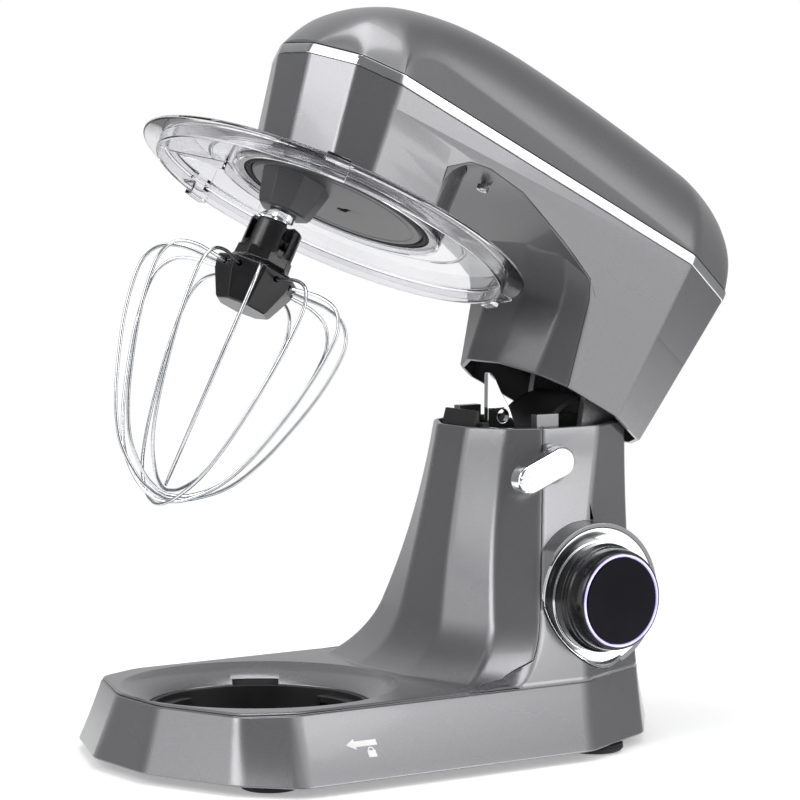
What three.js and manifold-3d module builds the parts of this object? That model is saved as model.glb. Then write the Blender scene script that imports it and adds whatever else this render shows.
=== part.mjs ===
// Tilt-head stand mixer with its head raised. Millimetres, +Z up, front towards -Y.
// The stand is drawn about the centre of the bowl dish. Everything on the head is drawn with the
// head closed and level, then turned up about the hinge pin.
import * as THREE from 'three';
import { mergeVertices } from 'three/addons/utils/BufferGeometryUtils.js';
import Module from 'manifold-3d';

const wasm = await Module();
wasm.setup();

// ---- driving dimensions -------------------------------------------------------------------
const gap = 0.35;              // clearance kept between pieces that touch
const wall = 3;                // casing wall
const skirtBottom = 5;         // underside of the base skirt
const deckHeight = 42.5;       // top of the base around the bowl dish
const columnTop = 184;         // rim of the column
const baseHalfWidth = 116;     // half width of the base at the floor
const columnFront = 134.5;     // front of the column at its rim
const columnHalfWidth = 49;    // half width of the column at its rim
const dishRadius = 80;         // outer edge of the bevelled dish ring
const socketRadius = 64;       // bore that the bowl's foot drops into
const socketFloor = 12.5;      // top of the lock ring's floor
const dishDrop = 11;           // fall of the bevelled dish ring, edge to bore
const notchHalf = 13.5;        // half width of the slots that let the bowl's tabs in
const footRadius = 17;
const screwRadius = 1.9;

const hinge = { y: 218, z: 160, pinRadius: 5, pinHalf: 33 };
const tiltDegrees = 27.5;      // how far the head is raised
const armInner = 24;            // hinge arms under the head
const armOuter = 28.6;
const catchBar = { y: 163.5, z: 209, radius: 3 };

const neckBottom = 186;        // rim of the head's neck, closed
const bandBottom = 284.9;      // trim band that runs round the head
const bandHeight = 6.4;
const noseY = -65.5;           // front of the head at the band
const headTop = 353;
const drumFloor = 232;         // underside of the nose
const drumRadius = 61.5;
const drumTop = 272;

const discBottom = 221.5;
const discRadius = 53.2;
const discThickness = 5;
const gearModule = 1.5;
const ringTeeth = 56;
const planetTeeth = 16;
const toolOffset = gearModule * (ringTeeth - planetTeeth) / 2;   // whisk axis from the planetary axis
const gearBottom = 235.6;
const gearHeight = 11;
const carrierShaftRadius = 7;
const spindleRadius = 6;
const bearingRadius = 13.5;     // outer race of the carrier's bearings

const motorY = 200;
const motorRadius = 33;
const motorShaftRadius = 4;
const plateBottom = 274;       // cast frame inside the head
const plateThickness = 5;
const pulleyBottom = 286;
const pulleyWidth = 10;
const largePulleyRadius = 42;
const smallPulleyRadius = 8.4;
const beltThickness = 1.6;

const whiskRadius = 62.5;
const whiskTip = 20;           // lowest loop above the floor, head closed
const whiskShoulder = 147;
const wireRadius = 1.0;
const loopCount = 6;
const loopStep = 2.4;          // rise from one loop's bottom to the next
const wireEntry = 160.5;        // height at which the wires enter the hub

const guardRadius = 106;       // lower rim of the splash guard
const guardFlangeRadius = 118;
const guardRim = 210;

const chuteAngle = 197;         // middle of the pouring chute, round from +X

const lever = { y: 164, z: 161.5, shaftRadius: 4 };
const knob = { y: 191, z: 85.5, seatX: 67.5, bezelRadius: 40.4, baseRadius: 32 };
const lightRadius = 27;         // outer edge of the lit ring in the knob
const lightWidth = 1.2;

const gray = [0x87878c, 0.28, 0.15];
const steel = [0xc8cace, 0.2, 1.0];
const darkSteel = [0x6f7276, 0.4, 0.9];
const chrome = [0xe8eaee, 0.08, 1.0];
const black = [0x141416, 0.35, 0.05];
const rubber = [0x1b1b1c, 0.85, 0.0];
const copper = [0xa8683a, 0.4, 0.7];
const nylon = [0xe4e2da, 0.5, 0.0];
const clear = [0xdfe8ee, 0.06, 0.0];
const pcb = [0x1d5b3a, 0.5, 0.1];
const glow = [0xb7b2e6, 0.3, 0.0];

// ---- shape helpers ------------------------------------------------------------------------
function toManifold(geometry) {
  const bare = new THREE.BufferGeometry();
  bare.setAttribute('position', (geometry.index ? geometry.toNonIndexed() : geometry).attributes.position);
  const welded = mergeVertices(bare, 1e-4);
  const place = welded.attributes.position;
  const triangles = [];
  let volume = 0;
  const corner = [new THREE.Vector3(), new THREE.Vector3(), new THREE.Vector3()];
  for (let i = 0; i < welded.index.count; i += 3) {
    const [a, b, c] = [0, 1, 2].map((k) => welded.index.getX(i + k));
    if (a === b || b === c || c === a) continue;
    triangles.push(a, b, c);
    [a, b, c].forEach((v, k) => corner[k].fromBufferAttribute(place, v));
    volume += corner[0].dot(corner[1].clone().cross(corner[2]));
  }
  if (volume < 0) triangles.reverse();
  return new wasm.Manifold(new wasm.Mesh({
    numProp: 3,
    vertProperties: new Float32Array(place.array),
    triVerts: new Uint32Array(triangles),
  }));
}

function toGeometry(shape) {
  const mesh = shape.getMesh();
  const geometry = new THREE.BufferGeometry();
  geometry.setAttribute('position', new THREE.BufferAttribute(new Float32Array(mesh.vertProperties), 3));
  geometry.setIndex(new THREE.BufferAttribute(new Uint32Array(mesh.triVerts), 1));
  geometry.computeVertexNormals();
  return geometry;
}

function join(...pieces) {
  return toGeometry(pieces.map(toManifold).reduce((a, b) => a.add(b)));
}

function cut(body, ...tools) {
  return toGeometry(tools.map(toManifold).reduce((a, b) => a.subtract(b), toManifold(body)));
}

function common(a, b) {
  return toGeometry(toManifold(a).intersect(toManifold(b)));
}

function box(x0, x1, y0, y1, z0, z1) {
  return new THREE.BoxGeometry(x1 - x0, y1 - y0, z1 - z0)
    .translate((x0 + x1) / 2, (y0 + y1) / 2, (z0 + z1) / 2);
}

// A profile of [radius, height] turned about the Z axis.
function turned(profile, segments = 24) {
  const points = profile.map(([r, z]) => new THREE.Vector2(r, z));
  return new THREE.LatheGeometry(points, segments).rotateX(Math.PI / 2);
}

function disc(radius, z0, z1, segments = 24) {
  return turned([[0, z0], [radius, z0], [radius, z1], [0, z1]], segments);
}

function ring(inner, outer, z0, z1, segments = 24) {
  return turned([[inner, z0], [outer, z0], [outer, z1], [inner, z1], [inner, z0]], segments);
}

// Turns a shape drawn about Z so that it lies about the X axis through (y, z).
function aboutX(geometry, y, z) {
  return geometry.rotateY(Math.PI / 2).translate(0, y, z);
}

function rod(radius, x0, x1, y, z, segments = 16) {
  return aboutX(disc(radius, x0, x1, segments), y, z);
}

// A Y-Z outline drawn out along X.
function slab(outline, x0, x1, holes = []) {
  const shape = new THREE.Shape(outline.map(([y, z]) => new THREE.Vector2(y, z)));
  const turn = new THREE.Matrix4().set(0, 0, 1, x0, 1, 0, 0, 0, 0, 1, 0, 0, 0, 0, 0, 1);
  const solid = new THREE.ExtrudeGeometry(shape, { depth: x1 - x0,
    bevelEnabled: false }).applyMatrix4(turn);
  return holes.length ? cut(solid, ...holes.map(([y, z, r]) => rod(r, x0 - 1, x1 + 1, y, z, 16))) : solid;
}

// An X-Y outline drawn up along Z.
function plate(outline, z0, z1) {
  const shape = new THREE.Shape(outline.map(([x, y]) => new THREE.Vector2(x, y)));
  return new THREE.ExtrudeGeometry(shape, { depth: z1 - z0, bevelEnabled: false, curveSegments: 24 })
    .translate(0, 0, z0);
}

// A closed skin through rings of points that all have the same count.
function loft(rings, flatten = ([x, y]) => [x, y]) {
  const count = rings[0].length;
  const faces = [];
  for (let k = 0; k + 1 < rings.length; k += 1) {
    for (let i = 0; i < count; i += 1) {
      const j = (i + 1) % count;
      const [a, b] = [k * count + i, k * count + j];
      faces.push(a, b, b + count, a, b + count, a + count);
    }
  }
  const cap = (points) => THREE.ShapeUtils.triangulateShape(
    points.map((p) => new THREE.Vector2(...flatten(p))), []);
  const last = (rings.length - 1) * count;
  cap(rings[0]).forEach(([a, b, c]) => faces.push(a, c, b));
  cap(rings.at(-1)).forEach(([a, b, c]) => faces.push(last + a, last + b, last + c));
  const geometry = new THREE.BufferGeometry();
  geometry.setAttribute('position', new THREE.Float32BufferAttribute(rings.flat(2), 3));
  geometry.setIndex(faces);
  return geometry;
}

const mix = (a, b, t) => a + (b - a) * t;
const mirrored = (half) => [...half, ...half.map(([x, y]) => [-x, y]).reverse()];
const atHeight = (outline, z) => outline.map(([x, y]) => [x, y, z]);

// Moves every edge of a counter-clockwise outline inwards.
function inset(outline, distance) {
  const edges = outline.map((p, i) => {
    const q = outline[(i + 1) % outline.length];
    const length = Math.hypot(q[0] - p[0], q[1] - p[1]);
    const normal = [-(q[1] - p[1]) / length, (q[0] - p[0]) / length];
    return { p: [p[0] + normal[0] * distance, p[1] + normal[1] * distance], d: [q[0] - p[0], q[1] - p[1]] };
  });
  return edges.map((e, i) => {
    const f = edges[(i + edges.length - 1) % edges.length];
    const cross = f.d[0] * e.d[1] - f.d[1] * e.d[0];
    if (Math.abs(cross) < 1e-6) return e.p;
    const t = ((e.p[0] - f.p[0]) * e.d[1] - (e.p[1] - f.p[1]) * e.d[0]) / cross;
    return [f.p[0] + f.d[0] * t, f.p[1] + f.d[1] * t];
  });
}

// ---- stand --------------------------------------------------------------------------------
// Share of the flare from the column's rim (0) to the floor (1).
function flare(z) {
  return ((columnTop - Math.min(z, columnTop)) / (columnTop - skirtBottom)) ** 2.1;
}

function sideHalf(z) {
  return mix(columnHalfWidth, baseHalfWidth, flare(z));
}

function rearCorners(z) {
  const s = flare(z);
  return [
    [sideHalf(z), mix(207.5, 152, s ** 0.65)],
    [mix(26.2, baseHalfWidth - 28, s), mix(244.3, 211, s)],
    [mix(10.5, 40, s), mix(251.3, 250, s)],
  ];
}

function skirtOutline(z) {
  const t = (1 - flare(z)) / (1 - flare(deckHeight));
  return mirrored([
    [mix(26.4, 21.3, t), mix(-94, -80.8, t)],
    [mix(87.6, 76.3, t) * baseHalfWidth / 116, mix(-70, -60.4, t)],
    [sideHalf(z) - 1, mix(-43.7, -31.7, t)],
    ...rearCorners(z),
  ]);
}

const filletTop = 75;
const filletRadius = 34.5;

function frontSweep(z) {
  const drop = Math.max(0, filletTop - z);
  return filletRadius - Math.sqrt(filletRadius ** 2 - Math.min(drop, filletRadius) ** 2);
}

// Corner where the column's front cover meets the side panel.
function seamY(z) {
  return 165 - 0.8 * (sideHalf(z) - columnHalfWidth) - 0.6 * frontSweep(z);
}

function columnOutline(z) {
  const lean = 0.207 * (columnTop - z);
  const spread = sideHalf(z) - columnHalfWidth;
  return mirrored([
    [15 + 0.22 * spread, columnFront - lean - frontSweep(z)],
    [columnHalfWidth - 10.4 + 0.8 * spread, 148.5 - lean - 0.12 * spread - frontSweep(z)],
    [sideHalf(z), seamY(z)],
    ...rearCorners(z),
  ]);
}

const skirtLevels = [skirtBottom, 16, 29, deckHeight];
const columnLevels = [deckHeight, 45, 49, 55, 64, filletTop, 95, 120, 150, columnTop];

function standBody() {
  const skirt = loft(skirtLevels.map((z) => atHeight(skirtOutline(z), z)));
  const column = loft([
    atHeight(columnOutline(deckHeight), deckHeight - 2),
    ...columnLevels.map((z) => atHeight(columnOutline(z), z)),
  ]);
  return join(skirt, column);
}

function standCavity() {
  const inside = (outline, z) => atHeight(inset(outline, wall), z);
  const skirt = loft([
    inside(skirtOutline(skirtBottom), skirtBottom - 1),
    ...skirtLevels.slice(1, -1).map((z) => inside(skirtOutline(z), z)),
    inside(skirtOutline(deckHeight - wall), deckHeight - wall),
  ]);
  const column = loft([
    inside(columnOutline(deckHeight), deckHeight - wall - 1),
    ...columnLevels.slice(1).map((z) => inside(columnOutline(z), z)),
    inside(columnOutline(columnTop), columnTop + 1),
  ]);
  return join(skirt, column);
}

// Everything in front of the seam: the deck, the dish ring and the column's front.
function coverZone(clearance) {
  const seamLevels = [55, 64, filletTop, 95, 120, 150, columnTop];
  const rise = [[82, 41.4], [108, 43.6], [124, 48.5]];
  const outline = inset([
    [-130, 41.3], ...rise, ...seamLevels.map((z) => [seamY(z), z]), [seamY(columnTop), 205], [-130, 205],
  ], -clearance);
  const plug = inset(skirtOutline(deckHeight), 2.2 - clearance);
  return join(
    slab(outline, -130, 130),
    common(plate(plug, deckHeight - wall - 3 - clearance, deckHeight), box(-130, 130, -130,
    100 + clearance, 0, 60)),
  );
}

function knobRing(inner, outer, x0, x1) {
  return aboutX(ring(inner, outer, x0, x1, 30), knob.y, knob.z);
}

function knobDisc(radius, x0, x1) {
  return aboutX(disc(radius, x0, x1, 30), knob.y, knob.z);
}

const pocketRadius = knob.bezelRadius + gap;
const stemRadius = 6;
const screwPlaces = [[-1, -10], [1, -10], [-1, 120], [1, 120]].map(([s,
  y]) => [s * (baseHalfWidth - 24), y]);
const footPlaces = [[-78, -42], [78, -42], [-90, 172], [90, 172]];
const glandPlace = { z: 26, radius: 7.5 };

function baseHousing() {
  const body = standBody();
  const pocketWall = join(
    common(knobRing(pocketRadius, pocketRadius + 2.6, knob.seatX - 3, baseHalfWidth), body),
    knobRing(pocketRadius - 2, pocketRadius + 2.6, knob.seatX - 18, knob.seatX + 2.5),
    knobDisc(pocketRadius + 1, knob.seatX - wall, knob.seatX),
  );
  const bosses = screwPlaces.map(([x, y]) => disc(6, 8.5, 27, 12).translate(x, y, 0));
  const pilots = screwPlaces.map(([x, y]) => disc(screwRadius + gap, 4, 24, 10).translate(x, y, 0));
  const tabs = [-1, 1].map((side) => join(
    box(Math.min(side * 36, side * 42), Math.max(side * 36, side * 42), 166, 182, 172, 191.5),
    box(Math.min(side * 40, side * 47), Math.max(side * 40, side * 47), 166, 182, 172, 176),
  ));
  const leverBoss = rod(12, 45, 52.5, lever.y + 6, lever.z + 2, 24);
  const shell = cut(body, standCavity(), knobDisc(pocketRadius - 6, knob.seatX - 30, knob.seatX));
  return cut(
    join(shell, pocketWall, ...bosses, ...tabs, leverBoss),
    coverZone(gap),
    knobDisc(pocketRadius, knob.seatX, baseHalfWidth + 10),
    knobDisc(stemRadius + gap, knob.seatX - 10, knob.seatX + 1),
    rod(lever.shaftRadius + gap, 40, 60, lever.y, lever.z),
    disc(glandPlace.radius + gap, 235, 260, 32).rotateX(-Math.PI / 2).translate(0, 0, glandPlace.z),
    ...pilots,
  );
}

function deckCover() {
  const shell = common(cut(standBody(), standCavity()), coverZone(0));
  const boss = ring(socketRadius, dishRadius + 3.5, deckHeight - dishDrop - 3, deckHeight - 1, 32);
  const bevel = turned([[0, deckHeight - dishDrop], [socketRadius, deckHeight - dishDrop],
    [dishRadius, deckHeight], [dishRadius, deckHeight + 4], [0, deckHeight + 4]], 32);
  const limited = common(boss, loft([
    atHeight(inset(skirtOutline(deckHeight), 4), 20), atHeight(inset(skirtOutline(deckHeight), 4), 60)]));
  const notches = [30, 150, 270].map((angle) => box(socketRadius - 6, socketRadius + 4, -notchHalf, notchHalf, 20, 34)
    .rotateZ(angle * Math.PI / 180));
  return cut(join(shell, limited), bevel, disc(socketRadius, 0, deckHeight, 32), ...notches,
    rod(lever.shaftRadius + gap, 40, 60, lever.y, lever.z, 24));
}

function bowlLockRing() {
  const outer = socketRadius - gap;
  const inner = outer - 3;
  const top = deckHeight - dishDrop - gap;
  const cup = turned([[0, socketFloor - 3], [outer, socketFloor - 3], [outer, top],
    [inner, top], [inner, socketFloor], [26, socketFloor], [25, socketFloor + 3],
    [21, socketFloor + 3], [20, socketFloor], [0, socketFloor]], 32);
  const lugs = [0, 1, 2].map((k) => common(
    ring(inner - 7, inner + 1, top - 7, top - 3, 32),
    box(0, 80, -15, 15, 0, 60).rotateZ(Math.PI / 2 + k * 2 * Math.PI / 3),
  ));
  const ramps = [0, 1, 2].map((k) => box(inner - 10, inner + 1, 15, 18.5, socketFloor - 1, top - 3)
    .rotateZ(Math.PI / 2 + k * 2 * Math.PI / 3));
  return join(cup, ...lugs, ...ramps);
}

function basePlate() {
  const sheet = plate(inset(skirtOutline(skirtBottom + 3), wall + 4 * gap), skirtBottom + 0.3,
    skirtBottom + 2.7);
  const holes = [
    ...screwPlaces.map(([x, y]) => disc(screwRadius + gap, 0, 12, 10).translate(x, y, 0)),
    ...footPlaces.map(([x, y]) => disc(4 + gap, 0, 12, 12).translate(x, y, 0)),
  ];
  return cut(sheet, ...holes);
}

function foot() {
  return turned([[0, 0], [footRadius - 2, 0], [footRadius, 1.5], [footRadius, 4.5], [4, 4.5], [4, 10],
    [0, 10]], 16);
}

function baseScrew() {
  return turned([[0, 2.2], [3, 2.2], [4, 3.2], [4, skirtBottom], [screwRadius, skirtBottom],
    [screwRadius, 20], [0, 22]], 10);
}

function columnCollar() {
  const outline = (distance) => inset(columnOutline(columnTop - 5), wall + gap + distance);
  const frame = cut(plate(outline(0), 176, 180), plate(outline(5), 170, 190));
  const front = columnFront + wall + 1.3;
  const lug = slab([[front, 176], [front + 4.2, 176], [front + 4.2, 193], [front + 2.7, 193], [front, 184]],
    -16, 16);
  const step = slab([[141, 176], [147, 176], [147, 186], [143, 186]], 13, 20);
  return join(
    cut(frame, box(-60, 60, 156, 270, 170, 190)),
    common(lug, plate(outline(0), 170, 200)), common(step, plate(outline(0), 170, 200)));
}

// The inside of the column, kept clear of its wall.
function columnSpace(clearance) {
  return loft(columnLevels.map((z) => atHeight(inset(columnOutline(z), wall + clearance), z)));
}

function hingeBracket() {
  const floor = box(-32.4, 32.4, 154, 230, 116, 120);
  const cheek = (x0, x1) => slab([[200, 118], [229, 118], [228, 166], [222, 173], [214, 173], [206, 166]],
    x0, x1, [[hinge.y, hinge.z, hinge.pinRadius + gap]]);
  const post = slab([[156, 118], [172, 118], [172, 166], [168, 171], [160, 171], [156, 166]], 1, 5,
    [[lever.y, lever.z, lever.shaftRadius + gap]]);
  return common(join(floor, cheek(-32.4, -armOuter - gap), cheek(armOuter + gap, 32.4), post),
    columnSpace(gap));
}

// A wire wound about Z; the turns rise evenly from z0 to z1.
function coil(radius, wire, turns, z0, z1, sides = 5) {
  const steps = Math.round(turns * 8);
  const points = Array.from({ length: steps + 1 }, (_, i) => {
    const angle = 2 * Math.PI * turns * i / steps;
    return new THREE.Vector3(radius * Math.cos(angle), radius * Math.sin(angle), mix(z0, z1, i / steps));
  });
  return sweep(points, wire, steps, sides);
}

function sweep(points, radius, steps, sides = 6) {
  const section = new THREE.Shape(Array.from({ length: sides }, (_, i) => new THREE.Vector2(
    radius * Math.cos(2 * Math.PI * i / sides), radius * Math.sin(2 * Math.PI * i / sides))));
  return new THREE.ExtrudeGeometry(section, {
    steps, bevelEnabled: false, extrudePath: new THREE.CatmullRomCurve3(points),
  });
}

function tiltSpring() {
  return aboutX(coil(hinge.pinRadius + 4, 1.4, 5, -20, 20), hinge.y, hinge.z);
}

function leverSpring() {
  return aboutX(coil(lever.shaftRadius + 2.6, 0.8, 5, 20, 36), lever.y, lever.z);
}

function knobBezel() {
  const lifted = standBody().translate(1.2, 0, 0);
  const x = knob.seatX + gap;
  return join(
    knobRing(stemRadius + 2, knob.bezelRadius, x, x + 2),
    common(knobRing(knob.bezelRadius - 2, knob.bezelRadius, x + 1, baseHalfWidth + 10), lifted),
  );
}

const knobBack = knob.seatX + gap + 2 + gap;
const knobFace = knobBack + 21;
const displayBack = knobFace - 4.5;

function speedKnob() {
  const r = knob.baseRadius;
  return aboutX(turned([[stemRadius + gap, knobBack], [r, knobBack], [r, knobBack + 6], [r - 1.6,
    knobBack + 7.5],
    [r - 1.6, knobBack + 9], [r - 2.4, knobBack + 12], [r - 3, knobFace - 1.4], [r - 4.4, knobFace],
    [lightRadius + gap, knobFace], [lightRadius + gap, displayBack - gap], [stemRadius + gap,
    displayBack - gap],
    [stemRadius + gap, knobBack]], 24), knob.y, knob.z);
}

function knobLightRing() {
  return knobRing(lightRadius - lightWidth, lightRadius, displayBack, knobFace + 0.3);
}

function knobDisplay() {
  const r = lightRadius - lightWidth - gap;
  return aboutX(turned([[0, knob.seatX - 2], [stemRadius, knob.seatX - 2], [stemRadius, displayBack],
    [r, displayBack],
    [r, knobFace], [r - 0.8, knobFace + 0.6], [0, knobFace + 0.6]], 24), knob.y, knob.z);
}

function speedEncoder() {
  return cut(box(50, knob.seatX - wall - gap, knob.y - 9, knob.y + 9, knob.z - 10, knob.z + 10),
    rod(3, 48, 70, knob.y, knob.z, 20));
}

function controlBoard() {
  const chips = [[172, 64], [182, 100], [200, 66], [194, 98]];
  return join(
    box(40.4, 42, 166, 213, 56, 108),
    ...chips.map(([y, z]) => box(37, 41, y, y + 9, z, z + 7)),
    aboutX(disc(6, 30, 41, 20), 205, 86),
  );
}

function cordGland() {
  const r = glandPlace.radius;
  return turned([[3.4, 232], [r, 232], [r, 250.6], [r + 3, 250.6], [r + 3, 254], [r - 0.5, 262], [3.4,
    262], [3.4, 232]], 16)
    .rotateX(-Math.PI / 2).translate(0, 0, glandPlace.z);
}

// ---- release lever and latch ----------------------------------------------------------------
const leverTilt = 22 * Math.PI / 180;
const leverInner = 52.5 + gap;

function releaseLever() {
  const half = 12.5;
  const radius = 7.6;
  const shape = new THREE.Shape()
    .absarc(half, 0, radius, -Math.PI / 2, Math.PI / 2, false)
    .absarc(-half, 0, radius, Math.PI / 2, 3 * Math.PI / 2, false);
  const turn = new THREE.Matrix4().set(0, 0, 1, leverInner, 1, 0, 0, 0, 0, 1, 0, 0, 0, 0, 0, 1);
  const pill = new THREE.ExtrudeGeometry(shape, {
    depth: 8.5, bevelEnabled: true, bevelSize: 1.2, bevelThickness: 1.2, bevelSegments: 1, curveSegments: 7,
  }).applyMatrix4(turn);
  const grooves = [0, 1, 2].map((k) => box(50, 60.5, -40, -half - radius + 0.4, 0, 1.2).translate(0, 0,
    3.2 * (k - 1)));
  const bore = rod(lever.shaftRadius + gap, 40, 59, 5, -1);
  return cut(pill.translate(1.2, 0, 0), ...grooves, bore)
    .translate(0, -5, 1).rotateX(leverTilt).translate(0, lever.y, lever.z);
}

function leverShaft() {
  return join(rod(lever.shaftRadius, -2, 58, lever.y, lever.z),
    rod(lever.shaftRadius + 4, 13.5, 17, lever.y, lever.z));
}

function latchHook() {
  const plateShape = [[152, 170], [157, 155], [172, 158], [174, 168], [172, 184], [168.5, 193], [160, 207],
    [156.4, 215], [152.4, 215]];
  return slab(plateShape, 8, 12, [[lever.y, lever.z, lever.shaftRadius + gap], [163.4, 188.8, 4]]);
}

// ---- head, drawn closed -----------------------------------------------------------------------
// The three front facets and the three rear facets of the head at one height.
function headOutline(z) {
  const below = bandBottom - z;
  const t = (z - neckBottom) / (bandBottom - neckBottom);
  return mirrored([
    [16 - 0.03 * below, noseY + 0.24 * below],
    [45 - 0.04 * below, noseY + 15.5 + 0.2 * below],
    [57 - 0.04 * below, noseY + 39.5 + 0.12 * below],
    [mix(columnHalfWidth, 66, t), mix(207.5, 203, t)],
    [mix(27, 38, t), mix(246, 256, t)],
    [mix(11, 14, t), mix(254, 270, t)],
  ]);
}

const neckFillet = { bottom: 226, radius: 38 };

function neckOutline(z) {
  const rise = z - neckBottom;
  const lift = Math.max(0, z - neckFillet.bottom);
  const sweepOut = neckFillet.radius - Math.sqrt(neckFillet.radius ** 2 - lift ** 2);
  const [, , c, d, e, f] = headOutline(z);
  const seam = 165 - 0.3 * rise - 0.8 * sweepOut;
  const side = mix(c[0], d[0], (seam - c[1]) / (d[1] - c[1]));
  return mirrored([
    [15 + 0.05 * rise, 134.5 - 0.06 * rise - sweepOut],
    [side - 10.4, 148.5 - 0.18 * rise - sweepOut],
    [side, seam],
    d, e, f,
  ]);
}

const scoopCurve = [[24.5, 250], [28, 259], [36, 266.5], [50, 269.5], [76, 267.5], [115, 256], [143,
  246], [153, 239]];
const headLevels = [drumFloor, 248, 266, bandBottom - gap];
const neckLevels = [neckBottom, 206, neckFillet.bottom, 238, 249, 258];

function scoop(clearance) {
  return slab(inset([[24.5, 170], [300, 170], [300, 239], ...scoopCurve.slice().reverse()],
    -clearance), -90, 90);
}

function headBody() {
  const front = loft(headLevels.map((z) => atHeight(headOutline(z), z)));
  const neck = loft(neckLevels.map((z) => atHeight(neckOutline(z), z)));
  return join(cut(front, scoop(0)), common(front, disc(drumRadius, drumFloor, drumTop, 32)), neck);
}

// The head's hull moved inwards; the front block and the neck are returned apart.
function headInside(distance) {
  const inside = (outline, z) => atHeight(inset(outline, distance), z);
  const front = loft([
    inside(headOutline(drumFloor + wall), drumFloor + wall),
    ...headLevels.slice(1).map((z) => inside(headOutline(z), z)),
    inside(headOutline(bandBottom), bandBottom + 2),
  ]);
  const neck = loft([
    inside(neckOutline(neckBottom), neckBottom - 1),
    ...neckLevels.slice(1).map((z) => inside(neckOutline(z), z)),
  ]);
  return [front, neck];
}

function headCavity() {
  const [front, neck] = headInside(wall);
  return join(cut(front, scoop(wall)), common(front, disc(drumRadius - wall, drumFloor, drumTop + 2,
    32)), neck);
}

// The dark piece under the head: the scoop's ceiling and the front of the neck.
function neckCoverZone(clearance) {
  const seam = [neckBottom - 3, 206, neckFillet.bottom, 236].map((z) => [165 - 0.3 * (z - neckBottom), z]);
  const outline = [[20, 180], ...seam, [144, 246.5], [116, 257], [76, 268.8], [50, 270.6], [36, 268],
    [20, 256]];
  const zone = slab(inset(outline, -clearance), -90, 90);
  const plug = common(slab(inset(outline, -clearance - 4), -90, 90),
    join(...headInside(wall - 0.2 - clearance)));
  return cut(join(zone, plug), disc(drumRadius + gap - clearance, 200, 300, 32));
}

const coverScrewPlace = { x: 34, y: 66, z: 269.4 };

function headLowerHousing() {
  const shell = cut(headBody(), headCavity(), neckCoverZone(gap));
  const drum = ring(drumRadius - 4, drumRadius, discBottom + 0.5, drumFloor + 1, 32);
  return cut(join(shell, drum), disc((ringTeeth / 2 - 1.8) * gearModule + 3.5, 215, gearBottom, 32));
}

function neckFrontCover() {
  const shell = common(cut(headBody(), headCavity()), neckCoverZone(0));
  const holes = [-1, 1].map((s) => disc(screwRadius + gap, 250, 280, 16)
    .translate(s * coverScrewPlace.x, coverScrewPlace.y, 0));
  return cut(shell, ...holes);
}

function coverScrew(side) {
  return turned([[0, -5], [3, -5], [3.6, -4.2], [3.6, -2], [screwRadius, -2], [screwRadius, 2.4], [0,
    3]], 10)
    .translate(side * coverScrewPlace.x, coverScrewPlace.y, coverScrewPlace.z);
}

function trimBand() {
  const outer = inset(headOutline(bandBottom), -0.5);
  return cut(plate(outer, bandBottom, bandBottom + bandHeight),
    plate(inset(headOutline(bandBottom), 4), bandBottom - 5, bandBottom + 20));
}

const crown = [[noseY, 293.5], [-63, 299], [-59, 306.5], [-53, 315], [-45, 323], [-35, 330.5], [-20,
  338.5], [0, 345],
  [25, 350.2], [60, headTop], [110, headTop - 0.6], [160, 350], [203, 346.6], [222, 344], [238, 339.5],
  [250, 333],
  [259, 324.5], [265, 315], [269, 304], [270, 295]];

// Straight interpolation in a list of [position, value].
function along(list, y) {
  const k = Math.max(1, list.findIndex(([p]) => p >= y));
  const [[y0, v0], [y1, v1]] = [list[k - 1], list[k]];
  return mix(v0, v1, (y - y0) / (y1 - y0));
}

// Half of one cross-section of the domed cover, from the band's edge to the crown.
function coverSection(y, inner) {
  const base = bandBottom + bandHeight + gap - (inner ? 1 : 0);
  const edge = headOutline(bandBottom).slice(0, 6).map(([x, yy]) => [yy, x]);
  const half = along(edge, y) - inner;
  const top = along(crown, y) - inner;
  const front = THREE.MathUtils.clamp((y - (noseY + 39.5)) / 30, 0, 1);
  const rear = THREE.MathUtils.clamp((203 - y) / 203, 0, 1);
  const facet = Math.max(0.6, 21 * Math.sqrt(1 - (1 - front) ** 2) * rear ** 0.8);
  const shoulder = Math.min(base + facet, mix(base, top, 0.6));
  const shoulderHalf = half - (shoulder - base) * 0.52;
  const start = 0.35;
  const arc = Array.from({ length: 7 }, (_, i) => {
    const angle = mix(start, Math.PI / 2, i / 6);
    return [shoulderHalf * (Math.cos(angle) / Math.cos(start)) ** 0.9,
      mix(shoulder, top, (Math.sin(angle) - Math.sin(start)) / (1 - Math.sin(start)))];
  });
  const right = [[half, base], ...arc.slice(0, -1), [0, top]];
  const left = right.slice(0, -1).reverse().map(([x, z]) => [-x, z]);
  return [...right, ...left].map(([x, z]) => [x, y, z]);
}

function headTopCover() {
  const stations = [...crown.map(([y]) => y), -50, -26, -12, 135, 182, 212, 256].sort((a, b) => a - b);
  const skin = (list, inner) => loft(list.map((y) => coverSection(y, inner)).reverse(), ([x, ,
    z]) => [x, z]);
  const inside = stations.filter((y) => y > noseY + 5 && y < 262);
  return cut(skin(stations, 0), skin(inside, wall));
}

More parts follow.
